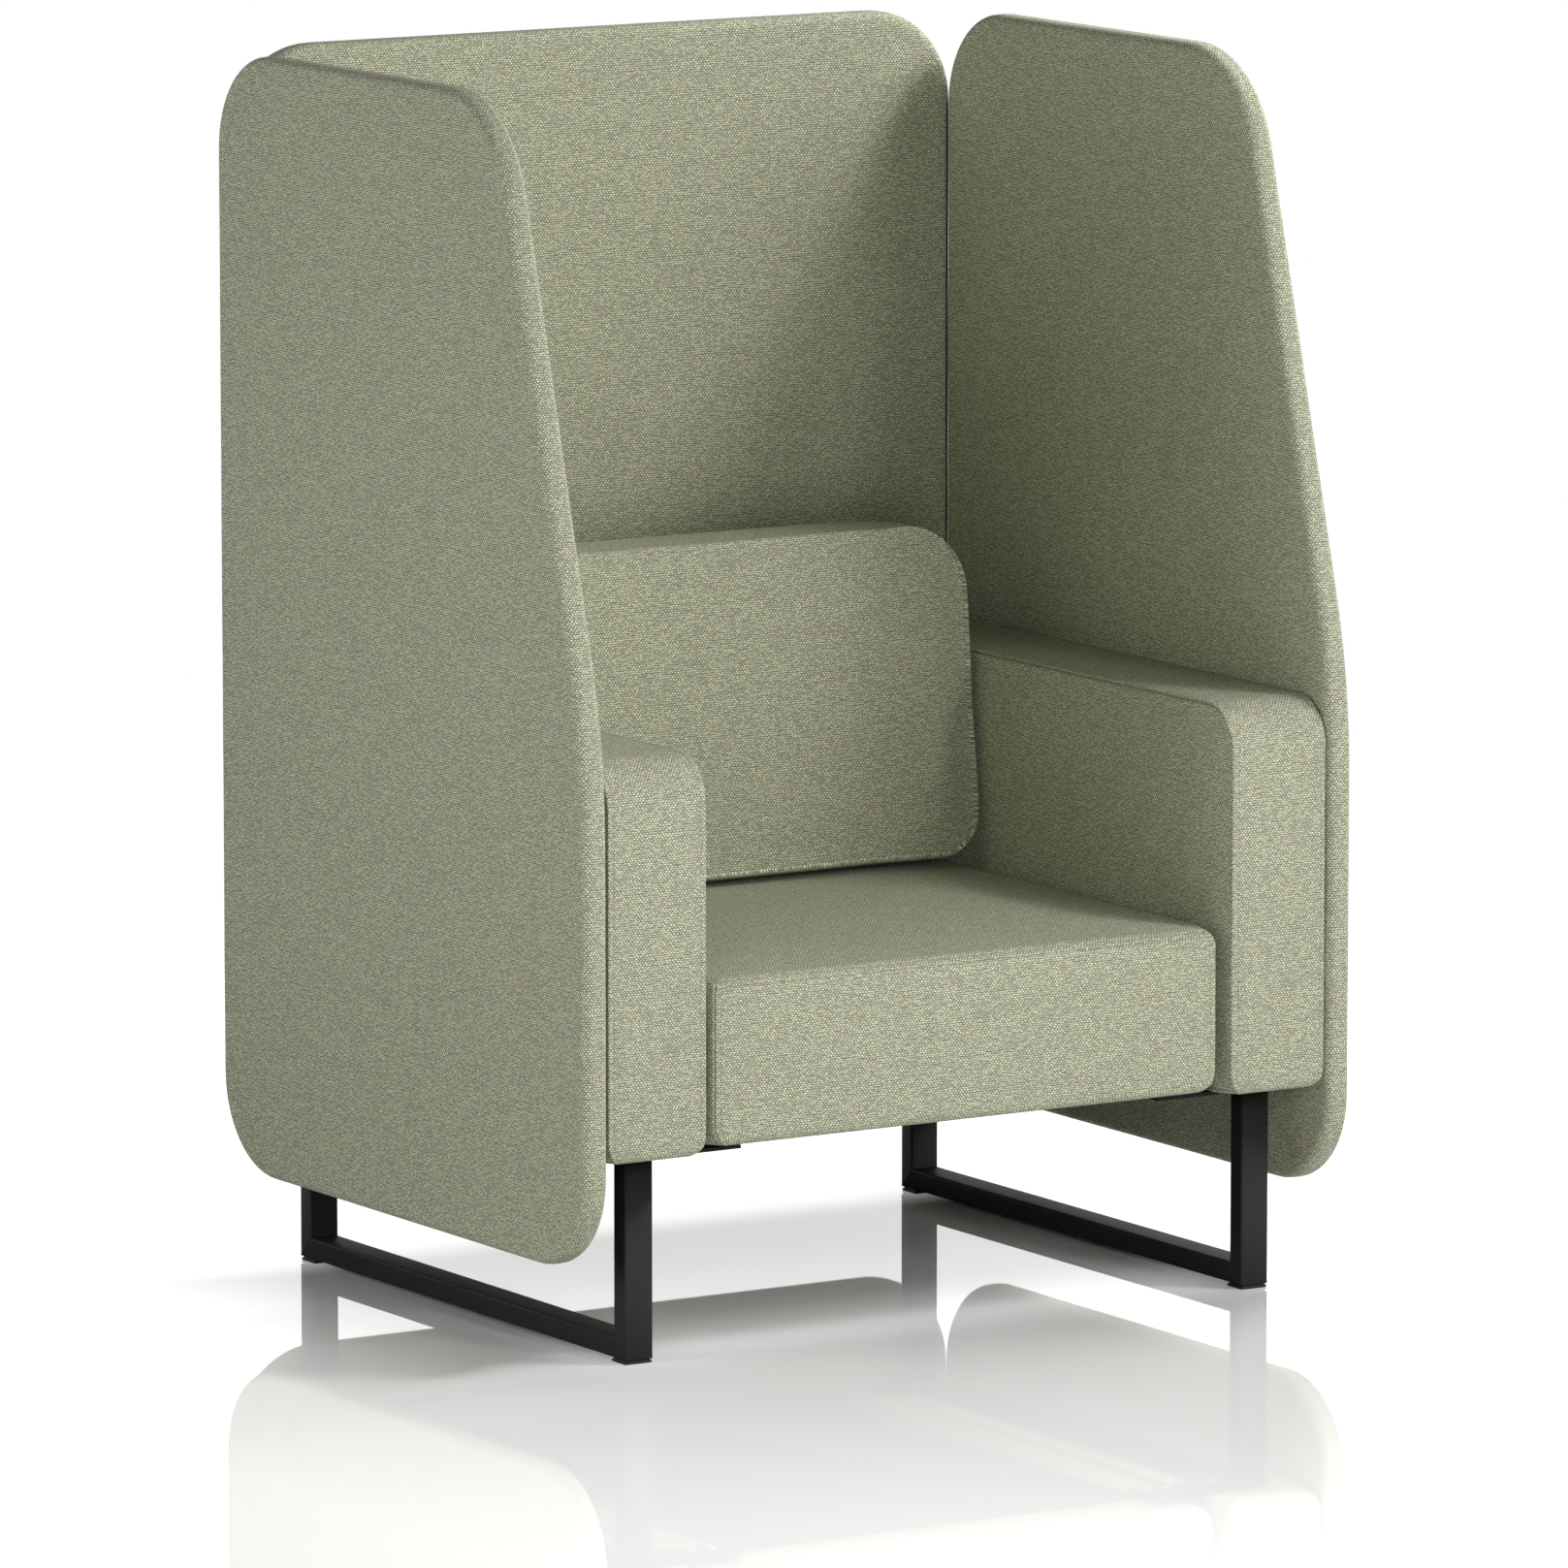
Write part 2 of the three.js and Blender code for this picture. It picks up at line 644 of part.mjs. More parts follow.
// A closed cushion on the XY plane: flat below, rounded edges, and a crown on its upper face.
function cushionGeometry(size) {
  const { thickness, edgeRadius, crown } = size;
  const rings = [];
  const addRing = (inset, scale, z) => {
    rings.push(cushionRing(size, inset, scale).map(([x, y]) => [x, y, z]));
  };
  const arcShares = [0, 1 / 3, 2 / 3, 1];
  const floorShare = 0.5;
  addRing(edgeRadius, floorShare, 0);
  arcShares.forEach((share) => {
    const angle = (share * Math.PI) / 2;
    addRing(edgeRadius * (1 - Math.sin(angle)), 1, edgeRadius * (1 - Math.cos(angle)));
  });
  arcShares.forEach((share) => {
    const angle = (share * Math.PI) / 2;
    addRing(edgeRadius * (1 - Math.cos(angle)), 1, thickness - edgeRadius * (1 - Math.sin(angle)));
  });
  const crownShares = [0.9, 0.72, 0.5, 0.25];
  crownShares.forEach((share) => addRing(edgeRadius, share, thickness + crown * (1 - share ** 2)));

  const count = rings[0].length;
  const positions = rings.flat(2);
  const bottomPole = positions.length / 3;
  positions.push(0, 0, 0, 0, 0, thickness + crown);
  const topRing = (rings.length - 1) * count;
  const index = [];
  for (let i = 0; i < count; i += 1) {
    const next = (i + 1) % count;
    index.push(bottomPole, next, i, bottomPole + 1, topRing + i, topRing + next);
    for (let low = 0; low < topRing; low += count) {
      const high = low + count;
      index.push(low + i, low + next, high + next, low + i, high + next, high + i);
    }
  }
  const geometry = new THREE.BufferGeometry();
  geometry.setAttribute('position', new THREE.Float32BufferAttribute(positions, 3));
  geometry.setIndex(index);
  return geometry;
}

function seatCushion() {
  const size = {
    width: 2 * seatHalf,
    height: seatRear - seatFront,
    thickness: seatThickness,
    cornerRadius: seatCornerRadius,
    edgeRadius: seatEdgeRadius,
    crown: seatCrown,
    drawIn: seatDrawIn,
  };
  const cushion = cushionGeometry(size).translate(0, (seatFront + seatRear) / 2, seatBottom);
  const recess = box(
    -deckHalf - seatingGap, deckHalf + seatingGap,
    seatFront + deckSetback - seatingGap, seatRear + cutOverrun,
    seatBottom - cutOverrun, boardTop + seatingGap,
  );
  return subtractAll(cushion, [recess]);
}

function backrestBoltXs() {
  return backrestBoltWidthShares.map((share) => share * backrestHalf);
}

const backrestBoltY = (backrestFront + armRear) / 2;
const backrestBite = carcassWall * boltBiteShare;

function seatDeck() {
  const deck = box(-deckHalf, deckHalf, seatFront + deckSetback, armRear, frameTop, boardTop);
  const plateXs = plateBoltXs().slice(0, plateBoltShares.length).flatMap((x) => [-x, x]);
  const backrestHoles = backrestBoltXs().map((x) => rod(
    boltRadius + holeClearance, boardThickness + 2 * cutOverrun, up, x, backrestBoltY, frameTop - cutOverrun,
  ));
  return subtractAll(deck, [...boardHoles(plateXs, boardBite + seatingGap), ...backrestHoles]);
}

// The backrest's front is upright beside the seat and leans back above it.
function backrestShape(inset, bottom) {
  const radius = Math.max(backrestCornerRadius - inset, seatingGap);
  const front = backrestFront + inset;
  const rear = armRear - inset;
  const top = backrestTop - inset;
  const leanStart = seatEdgeTop;
  const topFront = front + (top - leanStart) * leanSlope;
  const leanAngle = Math.PI - Math.atan(leanSlope);
  const shape = new THREE.Shape();
  shape.moveTo(front, bottom);
  shape.lineTo(rear, bottom);
  shape.absarc(rear - radius, top - radius, radius, 0, Math.PI / 2, false);
  shape.absarc(topFront + radius, top - radius, radius, Math.PI / 2, leanAngle, false);
  shape.lineTo(front, leanStart);
  return shape;
}

function backrest() {
  const group = new THREE.Group();
  const width = 2 * backrestHalf;
  const innerWidth = width - 2 * bodyPadding;
  const shell = slab(backrestShape(0, boxFloor), width, backrestEdgeRadius, sideView);
  const pocketShape = backrestShape(bodyPadding - seatingGap, boxFloor - cutOverrun);
  const pocket = slab(pocketShape, innerWidth + 2 * seatingGap, 0, sideView);
  group.add(piece('backrest_cover', subtractAll(shell, [pocket]), fabric));

  const outer = slab(backrestShape(bodyPadding, boxFloor), innerWidth, 0, sideView);
  const hollowShape = backrestShape(bodyPadding + carcassWall, boxFloor + carcassWall);
  const hollow = slab(hollowShape, innerWidth - 2 * carcassWall, 0, sideView);
  const port = rod(
    backrestPortRadius, carcassWall + 2 * cutOverrun, up, 0, backrestBoltY, boxFloor - cutOverrun,
  );
  const holeLength = cutOverrun + backrestBite + seatingGap;
  const boltHoles = backrestBoltXs().map((x) => rod(
    boltRadius + holeClearance, holeLength, up, x, backrestBoltY, boxFloor - cutOverrun,
  ));
  group.add(piece('backrest_frame', subtractAll(outer, [hollow, port, ...boltHoles]), plywood));

  const shank = boardThickness + seatingGap + backrestBite;
  backrestBoltXs().forEach((x, number) => {
    const z = frameTop - boltHeadHeight;
    group.add(piece(`backrest_bolt_${number + 1}`, boltGeometry(shank), zincSteel, x, backrestBoltY, z));
  });
  return group;
}

// The back cushion leans on the backrest, slopes down behind its crest and is pressed flat by the seat.
function backCushion() {
  const size = {
    width: 2 * (wellHalf - cushionSideGap),
    height: cushionHeight,
    thickness: cushionDepth,
    cornerRadius: cushionCornerRadius,
    edgeRadius: cushionEdgeRadius,
    crown: cushionCrown,
    drawIn: cushionDrawIn,
  };
  const geometry = cushionGeometry(size).translate(0, cushionHeight / 2, 0).applyMatrix4(frontView);
  const rear = seatRear - 2 * seatingGap;
  const position = geometry.attributes.position;
  for (let i = 0; i < position.count; i += 1) {
    const heightShare = position.getZ(i) / cushionHeight;
    const rearShare = 1 + position.getY(i) / cushionDepth;
    const fall = cushionTopFall * heightShare * rearShare;
    const z = cushionBottom + position.getZ(i) - fall;
    position.setY(i, rear + position.getY(i) + (z - seatEdgeTop) * leanSlope);
    position.setZ(i, z);
  }
  const pressedBy = toSolid(seatCushion()).translate([0, 0, seatingGap]);
  return toGeometry(toSolid(geometry).subtract(pressedBy));
}

const chair = new THREE.Group();
Object.entries(sides).forEach(([name, side]) => {
  chair.add(sled(name, side));
  chair.add(arm(name, side));
  chair.add(wingScreen(name, side));
  chair.add(screenBolts(name, side));
  chair.add(cornerZip(name, side));
});
chair.add(backScreen());
chair.add(piece('seat_deck', seatDeck(), plywood));
chair.add(piece('seat_cushion', seatCushion(), fabric));
chair.add(backrest());
chair.add(piece('back_cushion', backCushion(), fabric));

export default chair;
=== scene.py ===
# The looks of the acoustic high back lounge chair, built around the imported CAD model.
# Metres, +Z up. The sitter faces -Y, and +X is at the right of someone who looks at the front.
import math

import bmesh
import bpy
import numpy as np
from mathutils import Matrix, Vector, kdtree, noise
from mathutils.bvhtree import BVHTree


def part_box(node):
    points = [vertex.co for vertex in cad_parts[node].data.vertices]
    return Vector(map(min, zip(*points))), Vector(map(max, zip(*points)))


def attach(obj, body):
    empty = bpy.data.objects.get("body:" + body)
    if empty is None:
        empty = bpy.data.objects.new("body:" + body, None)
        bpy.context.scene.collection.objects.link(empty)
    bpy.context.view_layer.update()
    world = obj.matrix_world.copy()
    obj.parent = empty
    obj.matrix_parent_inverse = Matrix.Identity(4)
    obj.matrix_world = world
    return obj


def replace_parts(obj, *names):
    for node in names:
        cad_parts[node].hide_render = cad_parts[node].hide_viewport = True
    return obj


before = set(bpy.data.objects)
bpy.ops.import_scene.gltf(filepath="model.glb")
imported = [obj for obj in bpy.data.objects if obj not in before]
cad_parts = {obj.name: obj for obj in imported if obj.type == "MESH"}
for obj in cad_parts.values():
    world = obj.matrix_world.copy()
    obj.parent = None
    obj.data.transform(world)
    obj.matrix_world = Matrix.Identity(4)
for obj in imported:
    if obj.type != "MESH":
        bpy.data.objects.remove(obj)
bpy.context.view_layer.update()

MM = 0.001
QUARTER = math.pi / 2
SIDES = {"left": -1, "right": 1}
ENDS = ("front", "rear")

# Weave: light dots in rows, each row half a dot off the one below
ROW_HEIGHT = 2.68 * MM
DOT_PITCH = 4.0 * MM

# Edges of the padded forms: the round edge's radius, where the shaped border starts on the face, and how
# far it goes onto the band. seam is a share of the quarter turn, before the turn where negative. stitch
# is how far the stitches lie from the face's edge, and a furrow is its depth and half width.
EDGES = {
    "screen": dict(radius=10.5 * MM, reach=70 * MM, band=2 * MM, recess=0.7 * MM, step=9 * MM),
    "arm_inner": dict(radius=2.5 * MM, reach=12 * MM, band=9 * MM, seam=-0.45, stitch=8 * MM,
                      furrow=(4 * MM, 1.1 * MM)),
    "arm_outer": dict(radius=5 * MM, reach=12 * MM, band=9 * MM, seam=0.5, stitch=9 * MM),
    "seat": dict(radius=10 * MM, reach=11.4 * MM, band=14 * MM, seam=0.66, stitch=12 * MM, recess=1 * MM),
    "backrest": dict(radius=14 * MM, reach=15.5 * MM, band=10 * MM, seam=0.5, stitch=16 * MM, recess=1 * MM),
    "back": dict(radius=4 * MM, reach=45 * MM, band=16 * MM, seam=0.5, ridge=1 * MM),
}

# Mesh steps along the outline and across the band
STEPS = {
    "screen": (12 * MM, 5 * MM),
    "arm": (7 * MM, 9 * MM),
    "seat": (9 * MM, 13 * MM),
    "backrest": (12 * MM, 20 * MM),
    "back": (8 * MM, 12 * MM),
}

# Screens
SCREEN_RIPPLE = 0.25 * MM
SCREEN_RIPPLE_SIZE = 90 * MM
RIPPLE_OFFSETS = (3.1, 1.7, 2.3)
SCREEN_RIPPLE_SEEDS = {"left": 2, "right": 4, "back": 9}
WING_REAR_RADIUS = 115 * MM
WING_TOE_RADIUS = 112 * MM
WING_BROW_RADIUS = 150 * MM
WING_BEND_RADIUS = 790 * MM
WING_BEND_HEIGHT = 714 * MM
WING_SLANT = math.radians(15.4)
BACK_CORNER_RADIUS = 112 * MM

# Arms: corner radii from the lower rear one on, anticlockwise
ARM_RADII = (18 * MM, 18 * MM, 56 * MM, 13 * MM)
ARM_FOOT_CORNER_RADIUS = 24 * MM
ARM_PILLOW_DIP = 2.6 * MM
ARM_PILLOW_REACH = 34 * MM

# Seat cushion: corner radii as those of the arms
SEAT_FRONT_TOP_RADIUS = 20 * MM
SEAT_RADII = (16 * MM, 16 * MM, SEAT_FRONT_TOP_RADIUS, 12 * MM)
SEAT_CORNER_STEPS = ((), (), (36,), (12,))
SEAT_TOP_CORNER_RADIUS = 20 * MM
SEAT_FOOT_CORNER_RADIUS = 26 * MM
SEAT_FRONT_SEAM_ANGLE = math.radians(32)
SEAT_FRONT_SEAM_DEPTH = 1.04 * MM
SEAT_FRONT_STITCH_SETBACK = 8 * MM
SEAT_CROWN = 12 * MM
SEAT_SIDE_POWER = 4
SEAT_LIFT_START_SHARE = 0.375
SEAT_FRONT_BULGE = 2.5 * MM
SEAT_FRONT_REACH = 60 * MM
SEAT_SIDE_BULGE = 2 * MM
SEAT_HELD_BAND = 20 * MM
SOFT_CORNER_REACH = 45 * MM

# Backrest behind the back cushion: both lean back from a height on
LEAN = math.tan(math.radians(6))
LEAN_START = 440 * MM
BACKREST_CORNER_RADIUS = 24 * MM
BACKREST_FOOT_RADIUS = 16 * MM
BACKREST_BEND_RADIUS = 300 * MM

# Back cushion
BACK_TOP_CORNER_RADIUS = 84 * MM
BACK_FOOT_CORNER_RADIUS = 52 * MM
BACK_SIDE_GAP = 2 * MM
BACK_FOOT = 460.5 * MM
BACK_HEIGHT = 393 * MM
BACK_DEPTH = 166 * MM
BACK_REAR = 262.09 * MM
BACK_TOP_FALL = 16 * MM
BACK_FOOT_RISE = 6 * MM
BACK_PILLOW_DIP = 9 * MM
BACK_PILLOW_REACH = 55 * MM
BACK_LEVEL_DIP_SHARE = 0.15
BACK_BULGE = 10 * MM
BACK_SIDE_BULGE = 2.5 * MM
BACK_HELD_BAND = 8 * MM
BACK_SWELL_GROWTH = 1.4
GUSSET_TOP_BULGE = 3.5 * MM
GUSSET_FOOT_BULGE = 11 * MM
GUSSET_SIDE_BULGE = 1.5 * MM
GUSSET_ARCH_POWER = 0.6
GUSSET_FOOT_POWER = 0.3
REST_GAP = 0.4 * MM
REST_BELOW = 470 * MM
REST_RAY_START = 700 * MM

# Cloth simulation
CLOTH_PRESSURE = 4.0
CLOTH_STIFFNESS = 60.0
CLOTH_BENDING = 4.0
CLOTH_FRAMES = 20
CLOTH_VOXEL = 14 * MM
CARRY_POINTS = 8
CARRY_BLUR = 8 * MM

# Seams and stitches; the lip and a ridge's dips beside them are counted in half widths
SEAM_DEPTH = 1.3 * MM
SEAM_HALF_WIDTH = 0.9 * MM
SEAM_LIP = 0.35 * MM
SEAM_LIP_PLACE = 2.2
SEAM_LIP_WIDTH = 1.3
RIDGE_DIP_SHARE = 0.3
STITCH_DEPTH = 0.55 * MM
STITCH_HALF_WIDTH = 1.1 * MM
STITCH_PITCH = 4.2 * MM
STITCH_LENGTH = 3.1 * MM
THREAD_RADIUS = 0.42 * MM
THREAD_SIDES = 5
STEEP_SHARE = 0.8
THREAD_LENGTH_SHARES = (0.0, 0.22, 0.78, 1.0)
THREAD_GIRTH_SHARES = (0.35, 1.0, 1.0, 0.35)
PUCKER = 0.22 * MM
PUCKER_PITCH = 8 * MM
PUCKER_REACH = 5 * MM
PUCKER_SEED = (7.3, 1.9)

# Sampling of the pads
EDGE_STEP = 4 * MM
EDGE_TURN_STOPS = 8
SEAM_STOPS = (0.5 * MM, 0.9 * MM, 1.4 * MM, 2.0 * MM, 3.0 * MM)
SEAM_STOPS_REACH = 3.4 * MM
LEAST_STOP_GAP = 0.12 * MM
ARC_STEP = math.radians(7.5)
CAP_SHARES = (0.05, 0.2, 0.4, 0.6, 0.75, 0.85, 0.91, 0.945, 0.965, 0.98, 0.99)
TINY = 1e-9
ARC_TOLERANCE = 1e-6
TIE_BREAK = 1e-6
FAR_OFF = 9.0

# Dust covers
DUST_COVER_GAP = 3 * MM
DUST_COVER_DROP = 0.3 * MM
DUST_COVER_STEP = 12 * MM
DUST_COVER_SAG = 1.2 * MM
DUST_COVER_SAG_REACH = 60 * MM
DUST_COVER_WAVE = 0.3 * MM
DUST_COVER_WAVE_SIZE = 50 * MM

# Sled frames: each weld swells along its middle and a little less beside it
TUBE_CORNER_RADIUS = 3 * MM
ROUND_CORNER_STEPS = 5
WELD_RISE = 0.25 * MM
WELD_SHOULDERS = ((2 * MM, 0.0), (0.8 * MM, 0.175 * MM))

# Glides: how far each level is inset, and its height
GLIDE_CORNER_RADIUS = 2.5 * MM
GLIDE_LEVELS = np.array([
    (1.2, 0.0), (0.5, 0.25), (0.0, 0.9), (0.0, 2.4), (0.3, 2.9), (1.5, 3.0), (1.6, 3.1), (1.6, 5.0),
]) * MM

# Screw heads: shares of the head's radius and of the socket's half width, each with its height
HEAD_SIDES = 24
HEAD_RING_SHARES = (0.9, 1.0, 0.98, 0.86, 0.62, 0.44)
HEAD_HEIGHTS = np.array((4.0, 3.6, 2.6, 1.2, 0.35, 0.05)) * MM
SOCKET_HALF_WIDTH = 2.5 * MM
SOCKET_RING_SHARES = (1.0, 0.97)
SOCKET_HEIGHTS = np.array((0.1, 2.2)) * MM

# Zips
ZIP_SIDES = 8
ZIP_PITCH = 1.5 * MM
ZIP_WAIST_SHARE = 0.72


# Materials

class Graph:
    """Short calls that build a node tree."""

    def __init__(self, name):
        self.material = bpy.data.materials.new(name)
        self.material.use_nodes = True
        self.tree = self.material.node_tree
        self.shader = self.tree.nodes["Principled BSDF"]

    def node(self, kind, inputs=(), **settings):
        made = self.tree.nodes.new(kind)
        for key, value in settings.items():
            setattr(made, key, value)
        self.feed(made, dict(inputs))
        return made

    def feed(self, made, inputs):
        for key, value in inputs.items():
            socket = made.inputs[key]
            if isinstance(value, bpy.types.NodeSocket):
                self.tree.links.new(value, socket)
            else:
                socket.default_value = value

    def math(self, operation, *values):
        return self.node("ShaderNodeMath", enumerate(values), operation=operation).outputs[0]

    def vector(self, operation, *values):
        return self.node("ShaderNodeVectorMath", enumerate(values), operation=operation).outputs[0]

    def scaled(self, vector, factor):
        return self.node("ShaderNodeVectorMath", {0: vector, "Scale": factor}, operation="SCALE").outputs[0]

    def noise(self, vector, scale, detail=2.0, roughness=0.5):
        inputs = {"Vector": vector, "Scale": scale, "Detail": detail, "Roughness": roughness}
        return self.node("ShaderNodeTexNoise", inputs).outputs["Fac"]

    def place(self):
        """Where a point lies on its object, in metres."""
        return self.node("ShaderNodeTexCoord").outputs["Object"]

    def parts(self, vector):
        return self.node("ShaderNodeSeparateXYZ", {0: vector}).outputs

    def joined(self, x, y):
        return self.node("ShaderNodeCombineXYZ", {"X": x, "Y": y}).outputs[0]

    def ramp(self, factor, stops, interpolation="LINEAR"):
        made = self.node("ShaderNodeValToRGB", {"Fac": factor})
        ramp = made.color_ramp
        ramp.interpolation = interpolation
        while len(ramp.elements) < len(stops):
            ramp.elements.new(1.0)
        for element, (place, colour) in zip(ramp.elements, stops):
            element.position = place
            element.color = (*colour, 1.0)
        return made.outputs["Color"]

    def span(self, value, low, high):
        """A value from 0 to 1, stretched to run from low to high."""
        return self.math("MULTIPLY_ADD", value, high - low, low)

    def bump(self, height, strength, distance):
        inputs = {"Height": height, "Strength": strength, "Distance": distance}
        return self.node("ShaderNodeBump", inputs).outputs["Normal"]

    def finish(self, **inputs):
        names = {
            "colour": "Base Color", "roughness": "Roughness", "metallic": "Metallic",
            "specular": "Specular IOR Level", "normal": "Normal", "sheen": "Sheen Weight",
            "sheen_roughness": "Sheen Roughness", "coat": "Coat Weight",
        }
        self.feed(self.shader, {names[key]: value for key, value in inputs.items()})
        return self.material


# Colours of the yarn: cool flecks, the plain sage, and warm flecks
TWEED_YARNS = [
    (0.24, (0.406, 0.446, 0.338)),
    (0.33, (0.433, 0.443, 0.325)),
    (0.66, (0.433, 0.443, 0.325)),
    (0.76, (0.462, 0.436, 0.320)),
]
FLECK_NOISE = (45.0, 1.0, 0.4)
GROOVE_SHADE = 0.42
DOT_LIGHT = 1.04
DOT_VARIETY = 1.04
DOT_ROUNDNESS = 1.5
DOT_HOP = 0.30
DOT_GAP_LIGHT = 0.10
DOT_GAP_HEIGHT = 0.5
DOT_WANDER = 0.7
ROW_OFFSET = 0.5
SLUB_SCALE = 90.0
SLUB_ROW_STEP = 5.3
SLUB_CONTRAST = 0.04
WEAVE_BUMP = (0.55, 0.5 * MM)


def tweed(name):
    """Sage tweed: light yarn dots over dark grooves, slubs, and flecks of warm and cool yarn."""
    g = Graph(name)
    uv = g.node("ShaderNodeUVMap", uv_map="weave").outputs["UV"]
    split = g.parts(uv)
    rows = g.math("DIVIDE", split["Y"], ROW_HEIGHT)
    row = g.math("FLOOR", rows)
    along = g.joined(g.math("MULTIPLY", split["X"], SLUB_SCALE), g.math("MULTIPLY", row, SLUB_ROW_STEP))
    slub = g.noise(along, 1.0, 1.0)
    shift = g.math("MULTIPLY_ADD", slub, DOT_WANDER, g.math("MULTIPLY", row, ROW_OFFSET))
    dots = g.math("ADD", g.math("DIVIDE", split["X"], DOT_PITCH), shift)
    cell = g.joined(g.math("FLOOR", dots), row)
    random = g.node("ShaderNodeTexWhiteNoise", {"Vector": cell}, noise_dimensions="2D").outputs
    green = g.node("ShaderNodeSeparateColor", {"Color": random["Color"]}).outputs["Green"]
    hop = g.math("MULTIPLY", g.math("SUBTRACT", green, 0.5), DOT_HOP)
    rise = g.node("ShaderNodeClamp", {"Value": g.math("ADD", g.math("FRACT", rows), hop)}).outputs[0]
    ridge = g.math("SINE", g.math("MULTIPLY", rise, math.pi))
    over = g.math("SINE", g.math("MULTIPLY", g.math("FRACT", dots), math.pi))
    dot = g.math("MULTIPLY", ridge, g.span(g.math("POWER", over, DOT_ROUNDNESS), DOT_GAP_LIGHT, 1.0))

    light = g.math("MULTIPLY_ADD", random["Value"], DOT_VARIETY, DOT_LIGHT)
    bright = g.math("MULTIPLY_ADD", dot, light, GROOVE_SHADE)
    bright = g.math("MULTIPLY_ADD", g.math("SUBTRACT", slub, 0.5), SLUB_CONTRAST, bright)
    colour = g.scaled(g.ramp(g.noise(uv, *FLECK_NOISE), TWEED_YARNS), bright)
    height = g.math("MULTIPLY", ridge, g.span(over, DOT_GAP_HEIGHT, 1.0))
    return g.finish(colour=colour, roughness=0.95, specular=0.08, sheen=0.06, sheen_roughness=0.5,
                    normal=g.bump(height, *WEAVE_BUMP))


# Sewing thread in the fabric's colour
TWIST_SCALE = 900.0
TWIST_DISTORTION = 2.0
TWIST_COLOURS = [(0.0, (0.26, 0.27, 0.19)), (1.0, (0.44, 0.45, 0.33))]
TWIST_BUMP = (0.4, 0.1 * MM)
THREAD_SPECK_SCALE = 600.0
THREAD_ROUGHNESS = (0.6, 0.9)


def sewing_thread(name):
    """Sewing thread with the turns of its twist."""
    g = Graph(name)
    place = g.place()
    inputs = {"Vector": place, "Scale": TWIST_SCALE, "Distortion": TWIST_DISTORTION}
    twist = g.node("ShaderNodeTexWave", inputs).outputs["Fac"]
    rough = g.span(g.noise(place, THREAD_SPECK_SCALE), *THREAD_ROUGHNESS)
    return g.finish(colour=g.ramp(twist, TWIST_COLOURS), roughness=rough, specular=0.15,
                    normal=g.bump(twist, *TWIST_BUMP))


# Hard materials: a slow noise gives the tone, and a fine one the bump and part of the roughness. A noise
# is its scale and detail, a bump its strength and distance, and a colour stop its place and colour.
HARD_MATERIALS = {
    "powder_coat": dict(
        tone=(40.0, 3.0), colours=[(0.3, (0.0125, 0.0125, 0.0128)), (0.7, (0.0150, 0.0150, 0.0154))],
        tone_roughness=(0.42, 0.50), grain=(1400.0, 3.0), grain_roughness=0.10, bump=(0.10, 0.05 * MM),
        specular=0.14,
    ),
    "moulded_plastic": dict(
        tone=(120.0, 4.0), colours=[(0.35, (0.006, 0.006, 0.006)), (0.8, (0.016, 0.016, 0.016))],
        tone_roughness=(0.5, 0.5), grain=(2200.0, 2.0), grain_roughness=0.2, bump=(0.25, 0.08 * MM),
        specular=0.3,
    ),
    "zinc_plate": dict(
        tone=(180.0, 4.0), colours=[(0.3, (0.42, 0.43, 0.44)), (0.7, (0.58, 0.58, 0.56))],
        tone_roughness=(0.2, 0.35), grain=(1.0, 2.0), stretch=(900.0, 900.0, 120.0), grain_roughness=0.2,
        bump=(0.12, 0.05 * MM), metallic=1.0,
    ),
}


def hard_material(name, tone, colours, tone_roughness, grain, grain_roughness, bump, stretch=None, **more):
    """Powder coat with orange peel, spark-eroded plastic, or zinc with dull clouds and a brushed grain."""
    g = Graph(name)
    place = g.place()
    cloud = g.noise(place, *tone)
    fine = g.noise(g.vector("MULTIPLY", place, stretch) if stretch else place, *grain)
    rough = g.math("MULTIPLY_ADD", fine, grain_roughness, g.span(cloud, *tone_roughness))
    return g.finish(colour=g.ramp(cloud, colours), roughness=rough, normal=g.bump(fine, *bump), **more)


# Birch plywood
PLY_STREAKS = (60.0, 4.0, 60.0)
PLY_STREAK_NOISE = (1.0, 5.0, 0.6)
PLY_SCALE = 110.0
PLY_DISTORTION = 0.4
PLY_COLOURS = [(0.3, (0.42, 0.27, 0.13)), (0.5, (0.56, 0.39, 0.21)), (0.75, (0.62, 0.46, 0.27))]
PLY_SHADES = (0.75, 1.05)
PLY_ROUGHNESS = (0.6, 0.8)
PLY_BUMP = (0.2, 0.2 * MM)


def plywood(name):
    """Birch plywood: long grain streaks on the faces, and dark glue lines through the thickness."""
    g = Graph(name)
    place = g.place()
    streak = g.noise(g.vector("MULTIPLY", place, PLY_STREAKS), *PLY_STREAK_NOISE)
    inputs = {"Vector": place, "Scale": PLY_SCALE, "Distortion": PLY_DISTORTION}
    plies = g.node("ShaderNodeTexWave", inputs, bands_direction="Z").outputs["Fac"]
    colour = g.scaled(g.ramp(streak, PLY_COLOURS), g.span(plies, *PLY_SHADES))
    return g.finish(colour=colour, roughness=g.span(streak, *PLY_ROUGHNESS), specular=0.3,
                    normal=g.bump(streak, *PLY_BUMP))


# Black non-woven cloth
FIBRE_NOISE = (900.0, 4.0, 0.7)
FIBRE_COLOURS = [(0.3, (0.008, 0.008, 0.009)), (0.8, (0.028, 0.028, 0.030))]
DIMPLE_SCALE = 420.0
FELT_BUMP = (0.35, 0.15 * MM)


